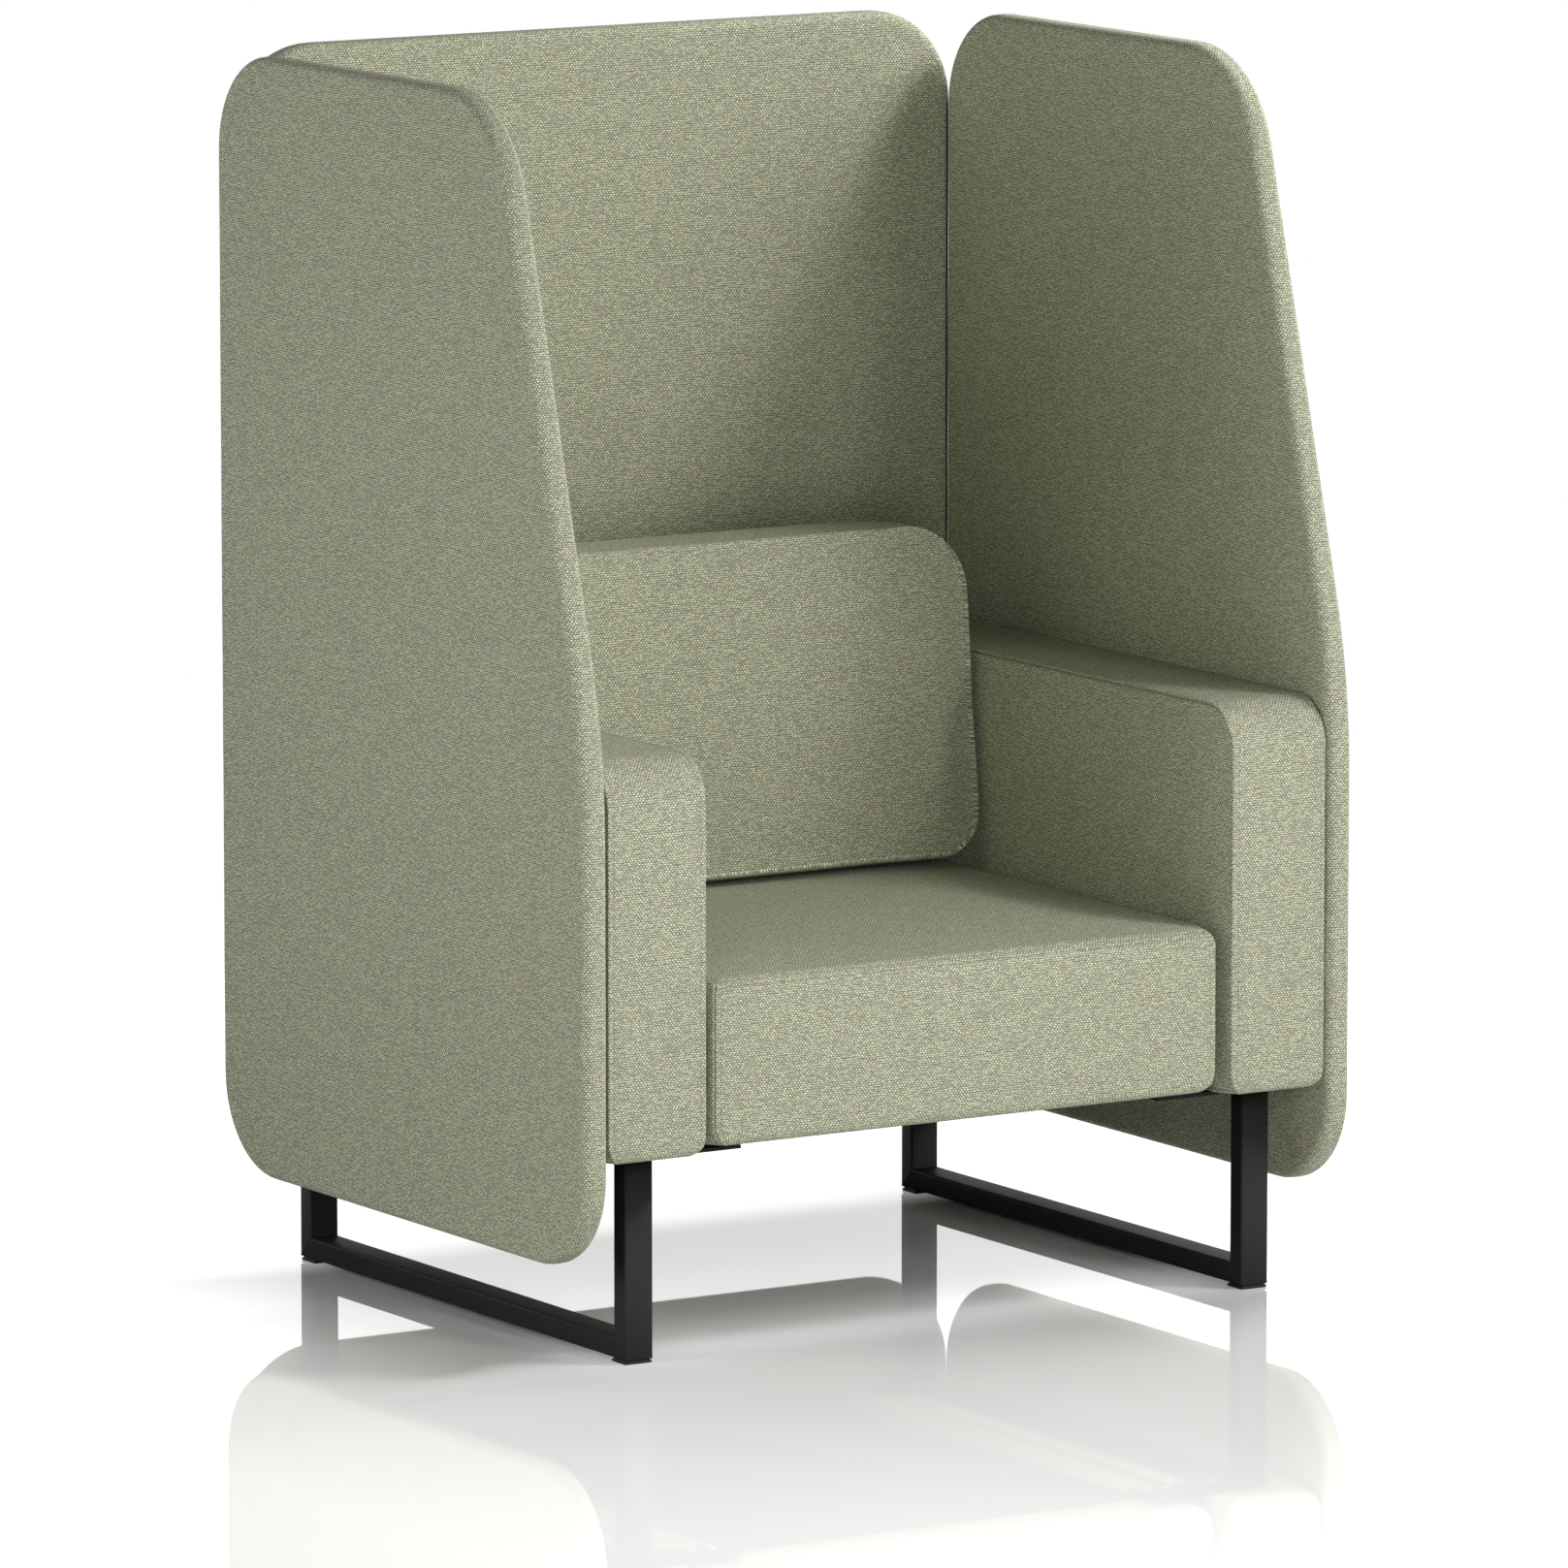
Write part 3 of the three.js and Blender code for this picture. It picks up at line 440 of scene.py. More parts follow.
def felted_black(name):
    """Black non-woven dust cover cloth: short matted fibres with small pressed dimples."""
    g = Graph(name)
    place = g.place()
    fibre = g.noise(place, *FIBRE_NOISE)
    dimple = g.node("ShaderNodeTexVoronoi", {"Vector": place, "Scale": DIMPLE_SCALE}).outputs["Distance"]
    return g.finish(colour=g.ramp(fibre, FIBRE_COLOURS), roughness=0.9, specular=0.15, sheen=0.1,
                    normal=g.bump(g.math("ADD", fibre, dimple), *FELT_BUMP))


FABRIC = tweed("tweed")
THREAD = sewing_thread("sewing_thread")
STEEL, PLASTIC, ZINC = [hard_material(name, **values) for name, values in HARD_MATERIALS.items()]
PLYWOOD = plywood("birch_plywood")
DUST_CLOTH = felted_black("dust_cloth")


# Meshes and objects

def new_mesh(name, co, faces):
    mesh = bpy.data.meshes.new(name)
    mesh.from_pydata([tuple(p) for p in co], [], [tuple(f) for f in faces])
    return mesh


def new_object(name, data):
    made = bpy.data.objects.new(name, data)
    bpy.context.scene.collection.objects.link(made)
    return made


def quads(rows, count, base=0, closed=True):
    """Faces between neighbouring rows of points, which are numbered row by row."""
    faces = []
    for row in range(rows - 1):
        first = base + row * count
        for k in range(count if closed else count - 1):
            a, b = first + k, first + (k + 1) % count
            faces.append((a, b, b + count, a + count))
    return faces


# Outlines and pads

class Outline:
    """A closed convex curve of round corners and straight runs, with its normals and running length.

    Each corner is (centre a, centre b, radius, first angle, last angle), anticlockwise, and may carry
    a number of steps of its own."""

    def __init__(self, kind, corners):
        spacing = STEPS[kind][0]
        points, normals = [], []
        ends = []
        for a, b, radius, first, last, *steps in corners:
            turn = last - first
            count = steps[0] if steps else max(2, math.ceil(max(turn / ARC_STEP, radius * turn / spacing)))
            angles = np.linspace(first, last, count + 1)
            normal = np.stack([np.cos(angles), np.sin(angles)], 1)
            ends.append((np.array([a, b]) + radius * normal, normal))
        for (arc, normal), (following, _) in zip(ends, ends[1:] + ends[:1]):
            points.extend(arc)
            normals.extend(normal)
            gap = following[0] - arc[-1]
            count = int(np.hypot(*gap) / spacing)
            for step in range(1, count):
                points.append(arc[-1] + gap * step / count)
                normals.append(normal[-1])
            if count == 0 and np.hypot(*gap) < TINY:
                points.pop()
                normals.pop()
        self.points = np.array(points)
        self.normals = np.array(normals)
        steps = np.hypot(*(np.roll(self.points, -1, 0) - self.points).T)
        self.run = np.concatenate([[0.0], np.cumsum(steps)])
        self.centre = (self.points.min(0) + self.points.max(0)) / 2

    def level_run(self):
        """The running length, shifted and turned so that it equals the height on the upright front run."""
        front = int(np.argmin(self.points[:, 0] + TIE_BREAK * np.abs(self.points[:, 1] - self.centre[1])))
        rising = self.points[(front + 2) % len(self.points), 1] > self.points[front - 2, 1]
        sign = 1.0 if rising else -1.0
        return sign * (self.run - self.run[front]) + self.points[front, 1]


class Edge:
    """The way from a flat face over a round edge onto the band, sampled more closely at its seams.

    Every stop has an inset from the outline, a depth below the face and a running length."""

    def __init__(self, radius, reach, band, seam=None, stitch=None, recess=0.0, ridge=0.0,
                 furrow=(SEAM_DEPTH, SEAM_HALF_WIDTH), step=EDGE_STEP):
        self.radius, self.reach, self.ridge, self.furrow, self.recess = radius, reach, ridge, furrow, recess
        self.flat = reach - radius
        self.turn = self.flat + radius * QUARTER
        self.end = self.turn + band
        self.middle = self.flat + radius * QUARTER * (seam or 0.5)
        self.seam = self.middle if seam else None
        self.stitch = self.turn + (stitch - radius) if stitch else None
        stops = set(np.linspace(0, self.flat, max(2, round(self.flat / step))))
        stops |= set(np.linspace(self.flat, self.turn, EDGE_TURN_STOPS))
        stops |= set(np.linspace(self.turn, self.end, max(2, round(band / step))))
        stops.add(self.middle)
        for line in (self.seam, self.stitch):
            if line is not None:
                stops = {s for s in stops if abs(s - line) > SEAM_STOPS_REACH or s in (0, self.end)}
                stops |= {line} | {line + sign * gap for gap in SEAM_STOPS for sign in (-1, 1)}
        ordered = sorted(s for s in stops if 0 <= s <= self.end)
        self.stops = [s for k, s in enumerate(ordered) if k == 0 or s - ordered[k - 1] > LEAST_STOP_GAP]

    def place(self, s):
        """(inset, depth, normal inset, normal depth) on the plain rounded edge."""
        if s <= self.flat:
            return self.reach - s, 0.0, 0.0, -1.0
        if s <= self.turn:
            angle = (s - self.flat) / self.radius
            inset, depth = self.radius * (1 - math.sin(angle)), self.radius * (1 - math.cos(angle))
            return inset, depth, -math.sin(angle), -math.cos(angle)
        return 0.0, self.radius + s - self.turn, -1.0, 0.0

    def relief(self, s):
        """How far the cloth stands off the plain edge: furrows at the seams, lips beside them."""
        rise = 0.0
        if self.recess:
            rise -= self.recess * (1 - smooth(s / self.middle))
        if self.seam is not None:
            depth, half_width = self.furrow
            gap = (s - self.seam) / half_width
            if self.ridge:
                rise += self.ridge * (hump(gap) - RIDGE_DIP_SHARE * beside(gap))
            else:
                rise += SEAM_LIP * beside(gap) - depth * hump(gap)
        if self.stitch is not None:
            rise -= STITCH_DEPTH * hump((s - self.stitch) / STITCH_HALF_WIDTH)
        return rise

    def pucker(self, s):
        """How strongly the cloth gathers at this stop."""
        lines = [line for line in (self.seam, self.stitch) if line is not None]
        return max([hump((s - line) / PUCKER_REACH) for line in lines], default=0.0)


def hump(gap):
    return np.exp(-gap ** 2)


def beside(gap):
    """The lips at both sides of a seam; gap is counted in its half widths."""
    return hump((np.abs(gap) - SEAM_LIP_PLACE) / SEAM_LIP_WIDTH)


def pillow(pad, charts, dip, reach, axis, level_share=1.0):
    """Lets a pad's flat faces curve down towards their seams; axis is the one across the pad.

    level_share is how much of the dip the upper and lower edges get."""
    outline = pad.outline
    dip = dip * (level_share + (1 - level_share) * outline.normals[:, 0] ** 2)
    middle = (pad.grid[0, :, axis].mean() + pad.grid[-1, :, axis].mean()) / 2
    for row, ring in zip(pad.rows, pad.grid):
        if row["chart"] in charts:
            base = outline.points - outline.normals * row["inset"] - outline.centre
            gap = row["inset"] + (1 - row["share"]) * (base * outline.normals).sum(1)
            ring[:, axis] += np.sign(middle - ring[:, axis]) * dip * (1 - smooth(gap / reach))


def smooth(x):
    """A soft step from 0 to 1, for a number or for an array."""
    x = np.clip(x, 0.0, 1.0)
    return x * x * (3 - 2 * x)


class Pad:
    """A padded form: an outline swept across a thickness, with two flat faces and edges between.

    low and high are where its faces lie across; place turns (a, b, across) into a point."""

    def __init__(self, kind, outline, low, high, place, edges=None):
        self.outline, self.place = outline, place
        edge_low, edge_high = edges or [Edge(**EDGES[kind])] * 2
        rows = []
        for share in CAP_SHARES:
            rows.append(self._row(edge_low, edge_low.stops[0], low, 1, "low", share))
        for s in edge_low.stops:
            rows.append(self._row(edge_low, s, low, 1, "low", 1.0))
        start = low + edge_low.radius + edge_low.end - edge_low.turn
        stop = high - edge_high.radius - (edge_high.end - edge_high.turn)
        count = max(1, round((stop - start) / STEPS[kind][1]))
        for step in range(1, count):
            rows.append(dict(inset=0.0, across=start + (stop - start) * step / count, share=1.0,
                             chart="band", pucker=0.0, line=None))
        for s in reversed(edge_high.stops):
            rows.append(self._row(edge_high, s, high, -1, "high", 1.0))
        for share in reversed(CAP_SHARES):
            rows.append(self._row(edge_high, edge_high.stops[0], high, -1, "high", share))
        self.rows = rows
        self._measure()
        self._place()

    def _row(self, edge, s, face, sign, name, share):
        inset, depth, n_inset, n_depth = edge.place(s)
        rise = edge.relief(s)
        line = None
        for label, value in (("seam", edge.seam), ("stitch", edge.stitch)):
            if value is not None and abs(s - value) < TINY:
                line = f"{name}_{label}"
        return dict(inset=inset + n_inset * rise, across=face + sign * (depth + n_depth * rise), share=share,
                    chart=name if s < edge.middle - TINY else "band",
                    pucker=edge.pucker(s) if share == 1.0 else 0.0, line=line)

    def _measure(self):
        """Running length across the pad, and how much further the cloth reaches than its flat view."""
        rows = self.rows
        across = [0.0]
        for one, two in zip(rows, rows[1:]):
            step = math.hypot(two["inset"] - one["inset"], two["across"] - one["across"])
            across.append(across[-1] + (step if one["share"] == two["share"] == 1.0 else 0.0))
        for row, value in zip(rows, across):
            row["run"] = value
        full = [k for k, row in enumerate(rows) if row["share"] == 1.0]
        first, last = full[0], full[-1]
        for row in rows:
            for name, end in (("stretch_low", rows[first]), ("stretch_high", rows[last])):
                longer = abs(end["run"] - row["run"]) - (end["inset"] - row["inset"])
                row[name] = max(0.0, longer) if row["share"] == 1.0 else 0.0
        self.middle_run = (rows[first]["run"] + rows[last]["run"]) / 2

    def _place(self):
        outline = self.outline
        wave = np.array([noise.noise(Vector((s / PUCKER_PITCH, *PUCKER_SEED))) for s in outline.run[:-1]])
        grid, flat = [], []
        for row in self.rows:
            inset = row["inset"] + PUCKER * row["pucker"] * wave
            base = outline.points - outline.normals * inset[:, None] - outline.centre
            ring = outline.centre + base * row["share"]
            flat.append(ring)
            grid.append(np.stack(self.place(ring[:, 0], ring[:, 1], np.full(len(ring), row["across"])), 1))
        self.flat = np.array(flat)
        self.grid = np.array(grid)

    def points(self):
        """Its points in one list. A change made there changes the pad too."""
        return self.grid.reshape(-1, 3)

    def line(self, label):
        """The points of the ring that a seam or a row of stitches follows."""
        index = next(k for k, row in enumerate(self.rows) if row.get("line") == label)
        return self.grid[index]

    def mesh(self):
        """Its points and faces, and the weave's place at each corner of a face."""
        rings, count = self.grid.shape[:2]
        poles = np.array([self.grid[0].mean(0), self.grid[-1].mean(0)])
        co = np.concatenate([self.grid.reshape(-1, 3), poles])
        level = self.outline.level_run()
        faces = quads(rings, count)
        uvs = []

        def uv(ring, i, chart):
            row = self.rows[ring]
            k = i % count
            if chart == "band":
                return (row["run"] - self.middle_run, level[i])
            return tuple(self.flat[ring, k] + self.outline.normals[k] * row[f"stretch_{chart}"])

        for ring in range(rings - 1):
            chart = self._chart(ring)
            for i in range(count):
                uvs.extend([uv(ring, i, chart), uv(ring, i + 1, chart),
                            uv(ring + 1, i + 1, chart), uv(ring + 1, i, chart)])
        for pole, ring, chart in ((len(co) - 2, 0, "low"), (len(co) - 1, rings - 1, "high")):
            for i in range(count):
                faces.append((pole, ring * count + i, ring * count + (i + 1) % count))
                uvs.extend([tuple(self.flat[ring].mean(0)), uv(ring, i, chart), uv(ring, i + 1, chart)])
        return co, faces, uvs

    def _chart(self, ring):
        one, two = self.rows[ring], self.rows[ring + 1]
        if "low" in (one["chart"], two["chart"]):
            return "low"
        if "high" in (one["chart"], two["chart"]):
            return "high"
        return "band"


def piece(name, co, faces, material, slot, uvs=None, smooth_shaded=True):
    """A mesh piece that rides on the chair, with its faces turned outwards."""
    mesh = new_mesh(name, co, faces)
    if uvs is not None:
        layer = mesh.uv_layers.new(name="weave")
        layer.data.foreach_set("uv", np.array(uvs, np.float32).ravel())
    form = bmesh.new()
    form.from_mesh(mesh)
    bmesh.ops.recalc_face_normals(form, faces=form.faces)
    form.to_mesh(mesh)
    form.free()
    mesh.polygons.foreach_set("use_smooth", [smooth_shaded] * len(mesh.polygons))
    mesh.materials.append(material)
    mesh.update()
    made = new_object(name, mesh)
    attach(made, "root")
    return made


def upholstery(name, node, kind, co, faces, uvs):
    """A padded form's fabric piece, in place of its CAD node."""
    made = piece(name, co, faces, FABRIC, "sage_fabric", uvs)
    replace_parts(made, node)
    return made


def along_x(a, b, across):
    return across, a, b


def along_y(a, b, across):
    return a, across, b


def rectangle_corners(low_a, high_a, low_b, high_b, radii, steps=((), (), (), ())):
    """Corners of a rectangle, from the lower right one on; radii in that order."""
    r0, r1, r2, r3 = radii
    return [
        (high_a - r0, low_b + r0, r0, -QUARTER, 0.0, *steps[0]),
        (high_a - r1, high_b - r1, r1, 0.0, QUARTER, *steps[1]),
        (low_a + r2, high_b - r2, r2, QUARTER, 2 * QUARTER, *steps[2]),
        (low_a + r3, low_b + r3, r3, 2 * QUARTER, 3 * QUARTER, *steps[3]),
    ]


def ripple(co, seed):
    """A slight unevenness of the padding, as distances to move each point."""
    offset = Vector(RIPPLE_OFFSETS) * seed
    return np.array([SCREEN_RIPPLE * noise.noise(Vector(p) / SCREEN_RIPPLE_SIZE + offset) for p in co])


# Screens

def wing_outline(low, high):
    """The side view of a side screen: its front leans back above the arm."""
    front, rear, bottom, top = low.y, high.y, low.z, high.z
    slant = WING_SLANT
    brow_z = top - WING_BROW_RADIUS
    brow_y = front + (brow_z - WING_BEND_HEIGHT) * math.tan(slant) + WING_BROW_RADIUS / math.cos(slant)
    bend_y = front + WING_BEND_RADIUS
    bend_z = WING_BEND_HEIGHT + (WING_BEND_RADIUS - WING_BEND_RADIUS / math.cos(slant)) / math.tan(slant)
    r, t = WING_REAR_RADIUS, WING_TOE_RADIUS
    return Outline("screen", [
        (rear - r, bottom + r, r, -QUARTER, 0.0),
        (rear - r, top - r, r, 0.0, QUARTER),
        (brow_y, brow_z, WING_BROW_RADIUS, QUARTER, math.pi - slant),
        (bend_y, bend_z, WING_BEND_RADIUS, math.pi - slant, math.pi),
        (front + t, bottom + t, t, math.pi, 3 * QUARTER),
    ])


def screen_piece(name, node, outline, low, high, place, axis):
    """One slab; axis is the one across it."""
    co, faces, uvs = Pad("screen", outline, low[axis], high[axis], place).mesh()
    inward = np.sign((low[axis] + high[axis]) / 2 - co[:, axis])
    co[:, axis] += inward * (SCREEN_RIPPLE + ripple(co, SCREEN_RIPPLE_SEEDS[name]))
    upholstery(f"{name}_screen_upholstery", node, "screen", co, faces, uvs)


def build_screens():
    for name in SIDES:
        node = f"{name}_screen_cover"
        low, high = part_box(node)
        screen_piece(name, node, wing_outline(low, high), low, high, along_x, 0)
    low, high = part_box("back_screen_cover")
    corners = rectangle_corners(low.x, high.x, low.z, high.z, [BACK_CORNER_RADIUS] * 4)
    outline = Outline("screen", corners)
    screen_piece("back", "back_screen_cover", outline, low, high, along_y, 1)


# Arms

def soften_corners(points, low, high, foot_radius, top_radius):
    """Rounds the front view's lower and upper corners off, more weakly away from the front."""
    middle, half = (low.x + high.x) / 2, (high.x - low.x) / 2
    near = 1 - smooth((points[:, 1] - low.y) / SOFT_CORNER_REACH)
    pull = np.zeros(len(points))
    for height, radius in ((points[:, 2] - low.z, foot_radius), (high.z - points[:, 2], top_radius)):
        gap = np.clip(radius - height, 0, radius)
        pull += radius - np.sqrt(radius ** 2 - gap ** 2)
    side = (points[:, 0] - middle) / half
    points[:, 0] -= near * pull * side * np.abs(side)


def build_arms():
    for name, side in SIDES.items():
        node = f"{name}_arm_cover"
        low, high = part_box(node)
        outline = Outline("arm", rectangle_corners(low.y, high.y, low.z, high.z, ARM_RADII))
        edges = [Edge(**EDGES["arm_inner"]), Edge(**EDGES["arm_outer"])][::side]
        pad = Pad("arm", outline, low.x, high.x, along_x, edges)
        pillow(pad, ("low", "high"), ARM_PILLOW_DIP, ARM_PILLOW_REACH, 0)
        soften_corners(pad.points(), low, high, ARM_FOOT_CORNER_RADIUS, 0.0)
        upholstery(f"{name}_arm_upholstery", node, "arm", *pad.mesh())
        stitch_edges(f"{name}_arm", pad)


def stitch_edges(name, pad):
    for end in ("low", "high"):
        stitches(f"{name}_{end}_stitches", pad.line(f"{end}_stitch"))


def stitches(name, points):
    """Short thread capsules that follow a closed line of points."""
    points = np.concatenate([points, points[:1]])
    steps = np.linalg.norm(np.diff(points, axis=0), axis=1)
    run = np.concatenate([[0.0], np.cumsum(steps)])
    count = int(run[-1] / STITCH_PITCH)
    spots = (np.arange(count) + 0.5) * run[-1] / count
    half = STITCH_LENGTH / 2

    def at(s):
        return np.stack([np.interp(s, run, points[:, k]) for k in range(3)], 1)

    rings = len(THREAD_LENGTH_SHARES)
    co, faces = [], []
    for start, end in zip(at(spots - half), at(spots + half)):
        axis = (end - start) / np.linalg.norm(end - start)
        helper = (0.0, 0.0, 1.0) if abs(axis[2]) < STEEP_SHARE else (0.0, 1.0, 0.0)
        one = np.cross(axis, helper)
        one /= np.linalg.norm(one)
        two = np.cross(axis, one)
        base = len(co)
        for share, girth in zip(THREAD_LENGTH_SHARES, THREAD_GIRTH_SHARES):
            for k in range(THREAD_SIDES):
                angle = 2 * math.pi * k / THREAD_SIDES
                out = math.cos(angle) * one + math.sin(angle) * two
                co.append(start + (end - start) * share + THREAD_RADIUS * girth * out)
        faces += quads(rings, THREAD_SIDES, base)
        faces.append(range(base, base + THREAD_SIDES))
        faces.append(range(base + (rings - 1) * THREAD_SIDES, base + rings * THREAD_SIDES))
    piece(name, co, faces, THREAD, "sage_fabric")


# Cushions

def inflate(name, co, faces, pinned):
    """Blows a coarse cloth copy up: its points at rest, and how far the pressure moved each of them."""
    balloon = new_object(name, new_mesh(name, co, faces))
    remesh = balloon.modifiers.new("remesh", "REMESH")
    remesh.mode, remesh.voxel_size = "VOXEL", CLOTH_VOXEL
    depsgraph = bpy.context.evaluated_depsgraph_get()
    even = bpy.data.meshes.new_from_object(balloon.evaluated_get(depsgraph))
    balloon.modifiers.remove(remesh)
    balloon.data = even
    rest = np.array([v.co for v in even.vertices])
    group = balloon.vertex_groups.new(name="pinned")
    group.add([int(index) for index in np.nonzero(pinned(rest))[0]], 1.0, "REPLACE")
    cloth = balloon.modifiers.new("cloth", "CLOTH")
    settings = cloth.settings
    settings.use_pressure = True
    settings.uniform_pressure_force = CLOTH_PRESSURE
    settings.vertex_group_mass = "pinned"
    settings.effector_weights.gravity = 0.0
    settings.tension_stiffness = settings.compression_stiffness = CLOTH_STIFFNESS
    settings.bending_stiffness = CLOTH_BENDING
    cloth.point_cache.frame_end = CLOTH_FRAMES
    scene = bpy.context.scene
    for number in range(1, CLOTH_FRAMES + 1):
        scene.frame_set(number)
    moved = balloon.evaluated_get(bpy.context.evaluated_depsgraph_get()).to_mesh()
    shift = np.array([v.co for v in moved.vertices]) - rest
    scene.frame_set(1)
    bpy.data.objects.remove(balloon)
    return rest, shift


def carry(points, rest, shift):
    """The movement of the nearest coarse points, blended, at each fine point."""
    tree = kdtree.KDTree(len(rest))
    for index, point in enumerate(rest):
        tree.insert(point, index)
    tree.balance()
    found = np.zeros((len(points), 3))
    for k, point in enumerate(points):
        hits = tree.find_n(point, CARRY_POINTS)
        weights = np.array([1.0 / (hit[2] ** 2 + CARRY_BLUR ** 2) for hit in hits])
        found[k] = (weights[:, None] * shift[[hit[1] for hit in hits]]).sum(0) / weights.sum()
    return found


def capped(movement, most):
    """Movement along one axis, scaled so that it goes no further than it may."""
    return movement * most / max(most, np.abs(movement).max())


def build_seat():
    low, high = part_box("seat_cushion")
    top = high.z - SEAT_CROWN
    corners = rectangle_corners(low.y, high.y, low.z, top, SEAT_RADII, SEAT_CORNER_STEPS)
    pad = Pad("seat", Outline("seat", corners), low.x, high.x, along_x)
    shape_seat(pad, low, high, top)
    furrow_front_seam(pad)
    made = upholstery("seat_cushion_upholstery", "seat_cushion", "seat", *pad.mesh())
    stitch_edges("seat", pad)
    return made


def shape_seat(pad, low, high, top):
    """Crowns the seat with the cloth simulation."""
    points = pad.points()
    x, y, z = points.T
    across = np.clip(1 - (np.abs(x) / high.x) ** SEAT_SIDE_POWER, 0, 1)
    front = smooth(1 - (y - low.y) / SEAT_FRONT_REACH)
    height = (z - low.z) / (top - low.z)
    def held(p):
        return (p[:, 2] < low.z + SEAT_HELD_BAND) | (p[:, 1] > high.y - SEAT_HELD_BAND)

    moved = carry(points, *inflate("seat_balloon", *pad.mesh()[:2], held))
    lift = capped(np.maximum(moved[:, 2], 0), SEAT_CROWN)
    sideways = capped(moved[:, 0], SEAT_SIDE_BULGE)
    points[:, 0] += sideways
    points[:, 1] += SEAT_FRONT_BULGE * (1 - across * np.sin(math.pi * height).clip(0, 1)) * front
    points[:, 2] += lift * smooth((height - SEAT_LIFT_START_SHARE) / (1 - SEAT_LIFT_START_SHARE))
    upper = Vector((high.x, high.y, top))
    soften_corners(points, low, upper, SEAT_FOOT_CORNER_RADIUS, SEAT_TOP_CORNER_RADIUS)


def furrow_front_seam(pad):
    """A seam along the seat's front edge, with a row of stitches above it."""
    outline = pad.outline
    corner = np.array([outline.points[:, 0].min() + SEAT_FRONT_TOP_RADIUS,
                       outline.points[:, 1].max() - SEAT_FRONT_TOP_RADIUS])
    angle = np.arctan2(outline.points[:, 1] - corner[1], corner[0] - outline.points[:, 0])
    reach = np.hypot(*(outline.points - corner).T)
    on_arc = np.abs(reach - SEAT_FRONT_TOP_RADIUS) < ARC_TOLERANCE
    run = np.where(on_arc, angle, FAR_OFF) * SEAT_FRONT_TOP_RADIUS
    seam = SEAT_FRONT_SEAM_ANGLE * SEAT_FRONT_TOP_RADIUS
    gap = (run - seam) / SEAM_HALF_WIDTH
    rise = SEAM_LIP * beside(gap) - SEAT_FRONT_SEAM_DEPTH * hump(gap)
    rise -= STITCH_DEPTH * hump((run - seam - SEAT_FRONT_STITCH_SETBACK) / STITCH_HALF_WIDTH)
    between = np.array([1.0 if row["chart"] == "band" else 0.0 for row in pad.rows])
    pad.grid[:, :, 1:] += between[:, None, None] * rise[None, :, None] * outline.normals[None, :, :]


def build_backrest():
    low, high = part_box("backrest_cover")
    r, foot, bend = BACKREST_CORNER_RADIUS, BACKREST_FOOT_RADIUS, BACKREST_BEND_RADIUS
    lean = math.atan(LEAN)
    top_front = low.y + (high.z - LEAN_START) * LEAN
    outline = Outline("backrest", [
        (high.y - foot, low.z + foot, foot, -QUARTER, 0.0),
        (high.y - r, high.z - r, r, 0.0, QUARTER),
        (top_front + r, high.z - r, r, QUARTER, math.pi - lean),
        (low.y + bend, LEAN_START, bend, math.pi - lean, math.pi),
        (low.y + foot, low.z + foot, foot, math.pi, 3 * QUARTER),
    ])
    pad = Pad("backrest", outline, low.x, high.x, along_x)
    upholstery("backrest_upholstery", "backrest_cover", "backrest", *pad.mesh())


def build_back_cushion(seat):
    """The back cushion, shaped upright first, then leant back and set on the seat."""
    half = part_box("back_cushion")[1].x - BACK_SIDE_GAP
    foot, top = BACK_FOOT_CORNER_RADIUS, BACK_TOP_CORNER_RADIUS
    corners = rectangle_corners(-half, half, 0.0, BACK_HEIGHT, [foot, top, top, foot])
    pad = Pad("back", Outline("back", corners), -BACK_DEPTH, 0.0, along_y)
    pillow(pad, ("low",), BACK_PILLOW_DIP, BACK_PILLOW_REACH, 1, BACK_LEVEL_DIP_SHARE)
    bulge_gusset(pad)
    shape_back_cushion(pad)
    points = pad.points()
    rear_share = np.clip(1 + points[:, 1] / BACK_DEPTH, 0, 1)
    top_share = np.clip(points[:, 2] / BACK_HEIGHT, 0, 1)
    points[:, 2] += BACK_FOOT - rear_share * (top_share * BACK_TOP_FALL + (1 - top_share) * BACK_FOOT_RISE)
    points[:, 1] += BACK_REAR + (points[:, 2] - LEAN_START) * LEAN
    rest_on(points, seat)
    upholstery("back_cushion_upholstery", "back_cushion", "back", *pad.mesh())


def bulge_gusset(pad):
    """Rounds the strip between the front and rear panels outwards."""
    outline = pad.outline
    for row, ring in zip(pad.rows, pad.grid):
        if row["chart"] == "band":
            arch = math.sin(math.pi * np.clip(-row["across"] / BACK_DEPTH, 0, 1))
            soft_arch = arch ** GUSSET_ARCH_POWER
            foot_bulge = GUSSET_FOOT_BULGE * arch ** GUSSET_FOOT_POWER
            ring[:, 0] += soft_arch * GUSSET_SIDE_BULGE * outline.normals[:, 0]
            bulge = np.where(outline.normals[:, 1] > 0, GUSSET_TOP_BULGE * soft_arch, foot_bulge)
            ring[:, 2] += bulge * outline.normals[:, 1]


def shape_back_cushion(pad):
    """Plumps the cushion's front with the cloth simulation."""
    points = pad.points()
    x, y, z = points.T
    forward = np.clip(-y / BACK_DEPTH, 0, 1)
    def held(p):
        return p[:, 1] > -BACK_HELD_BAND

    moved = carry(points, *inflate("back_balloon", *pad.mesh()[:2], held))
    points[:, 0] += capped(moved[:, 0], BACK_SIDE_BULGE)
    points[:, 1] += capped(np.minimum(moved[:, 1], 0), BACK_BULGE) * smooth(BACK_SWELL_GROWTH * forward)
    points[:, 2] += capped(moved[:, 2], BACK_SIDE_BULGE)


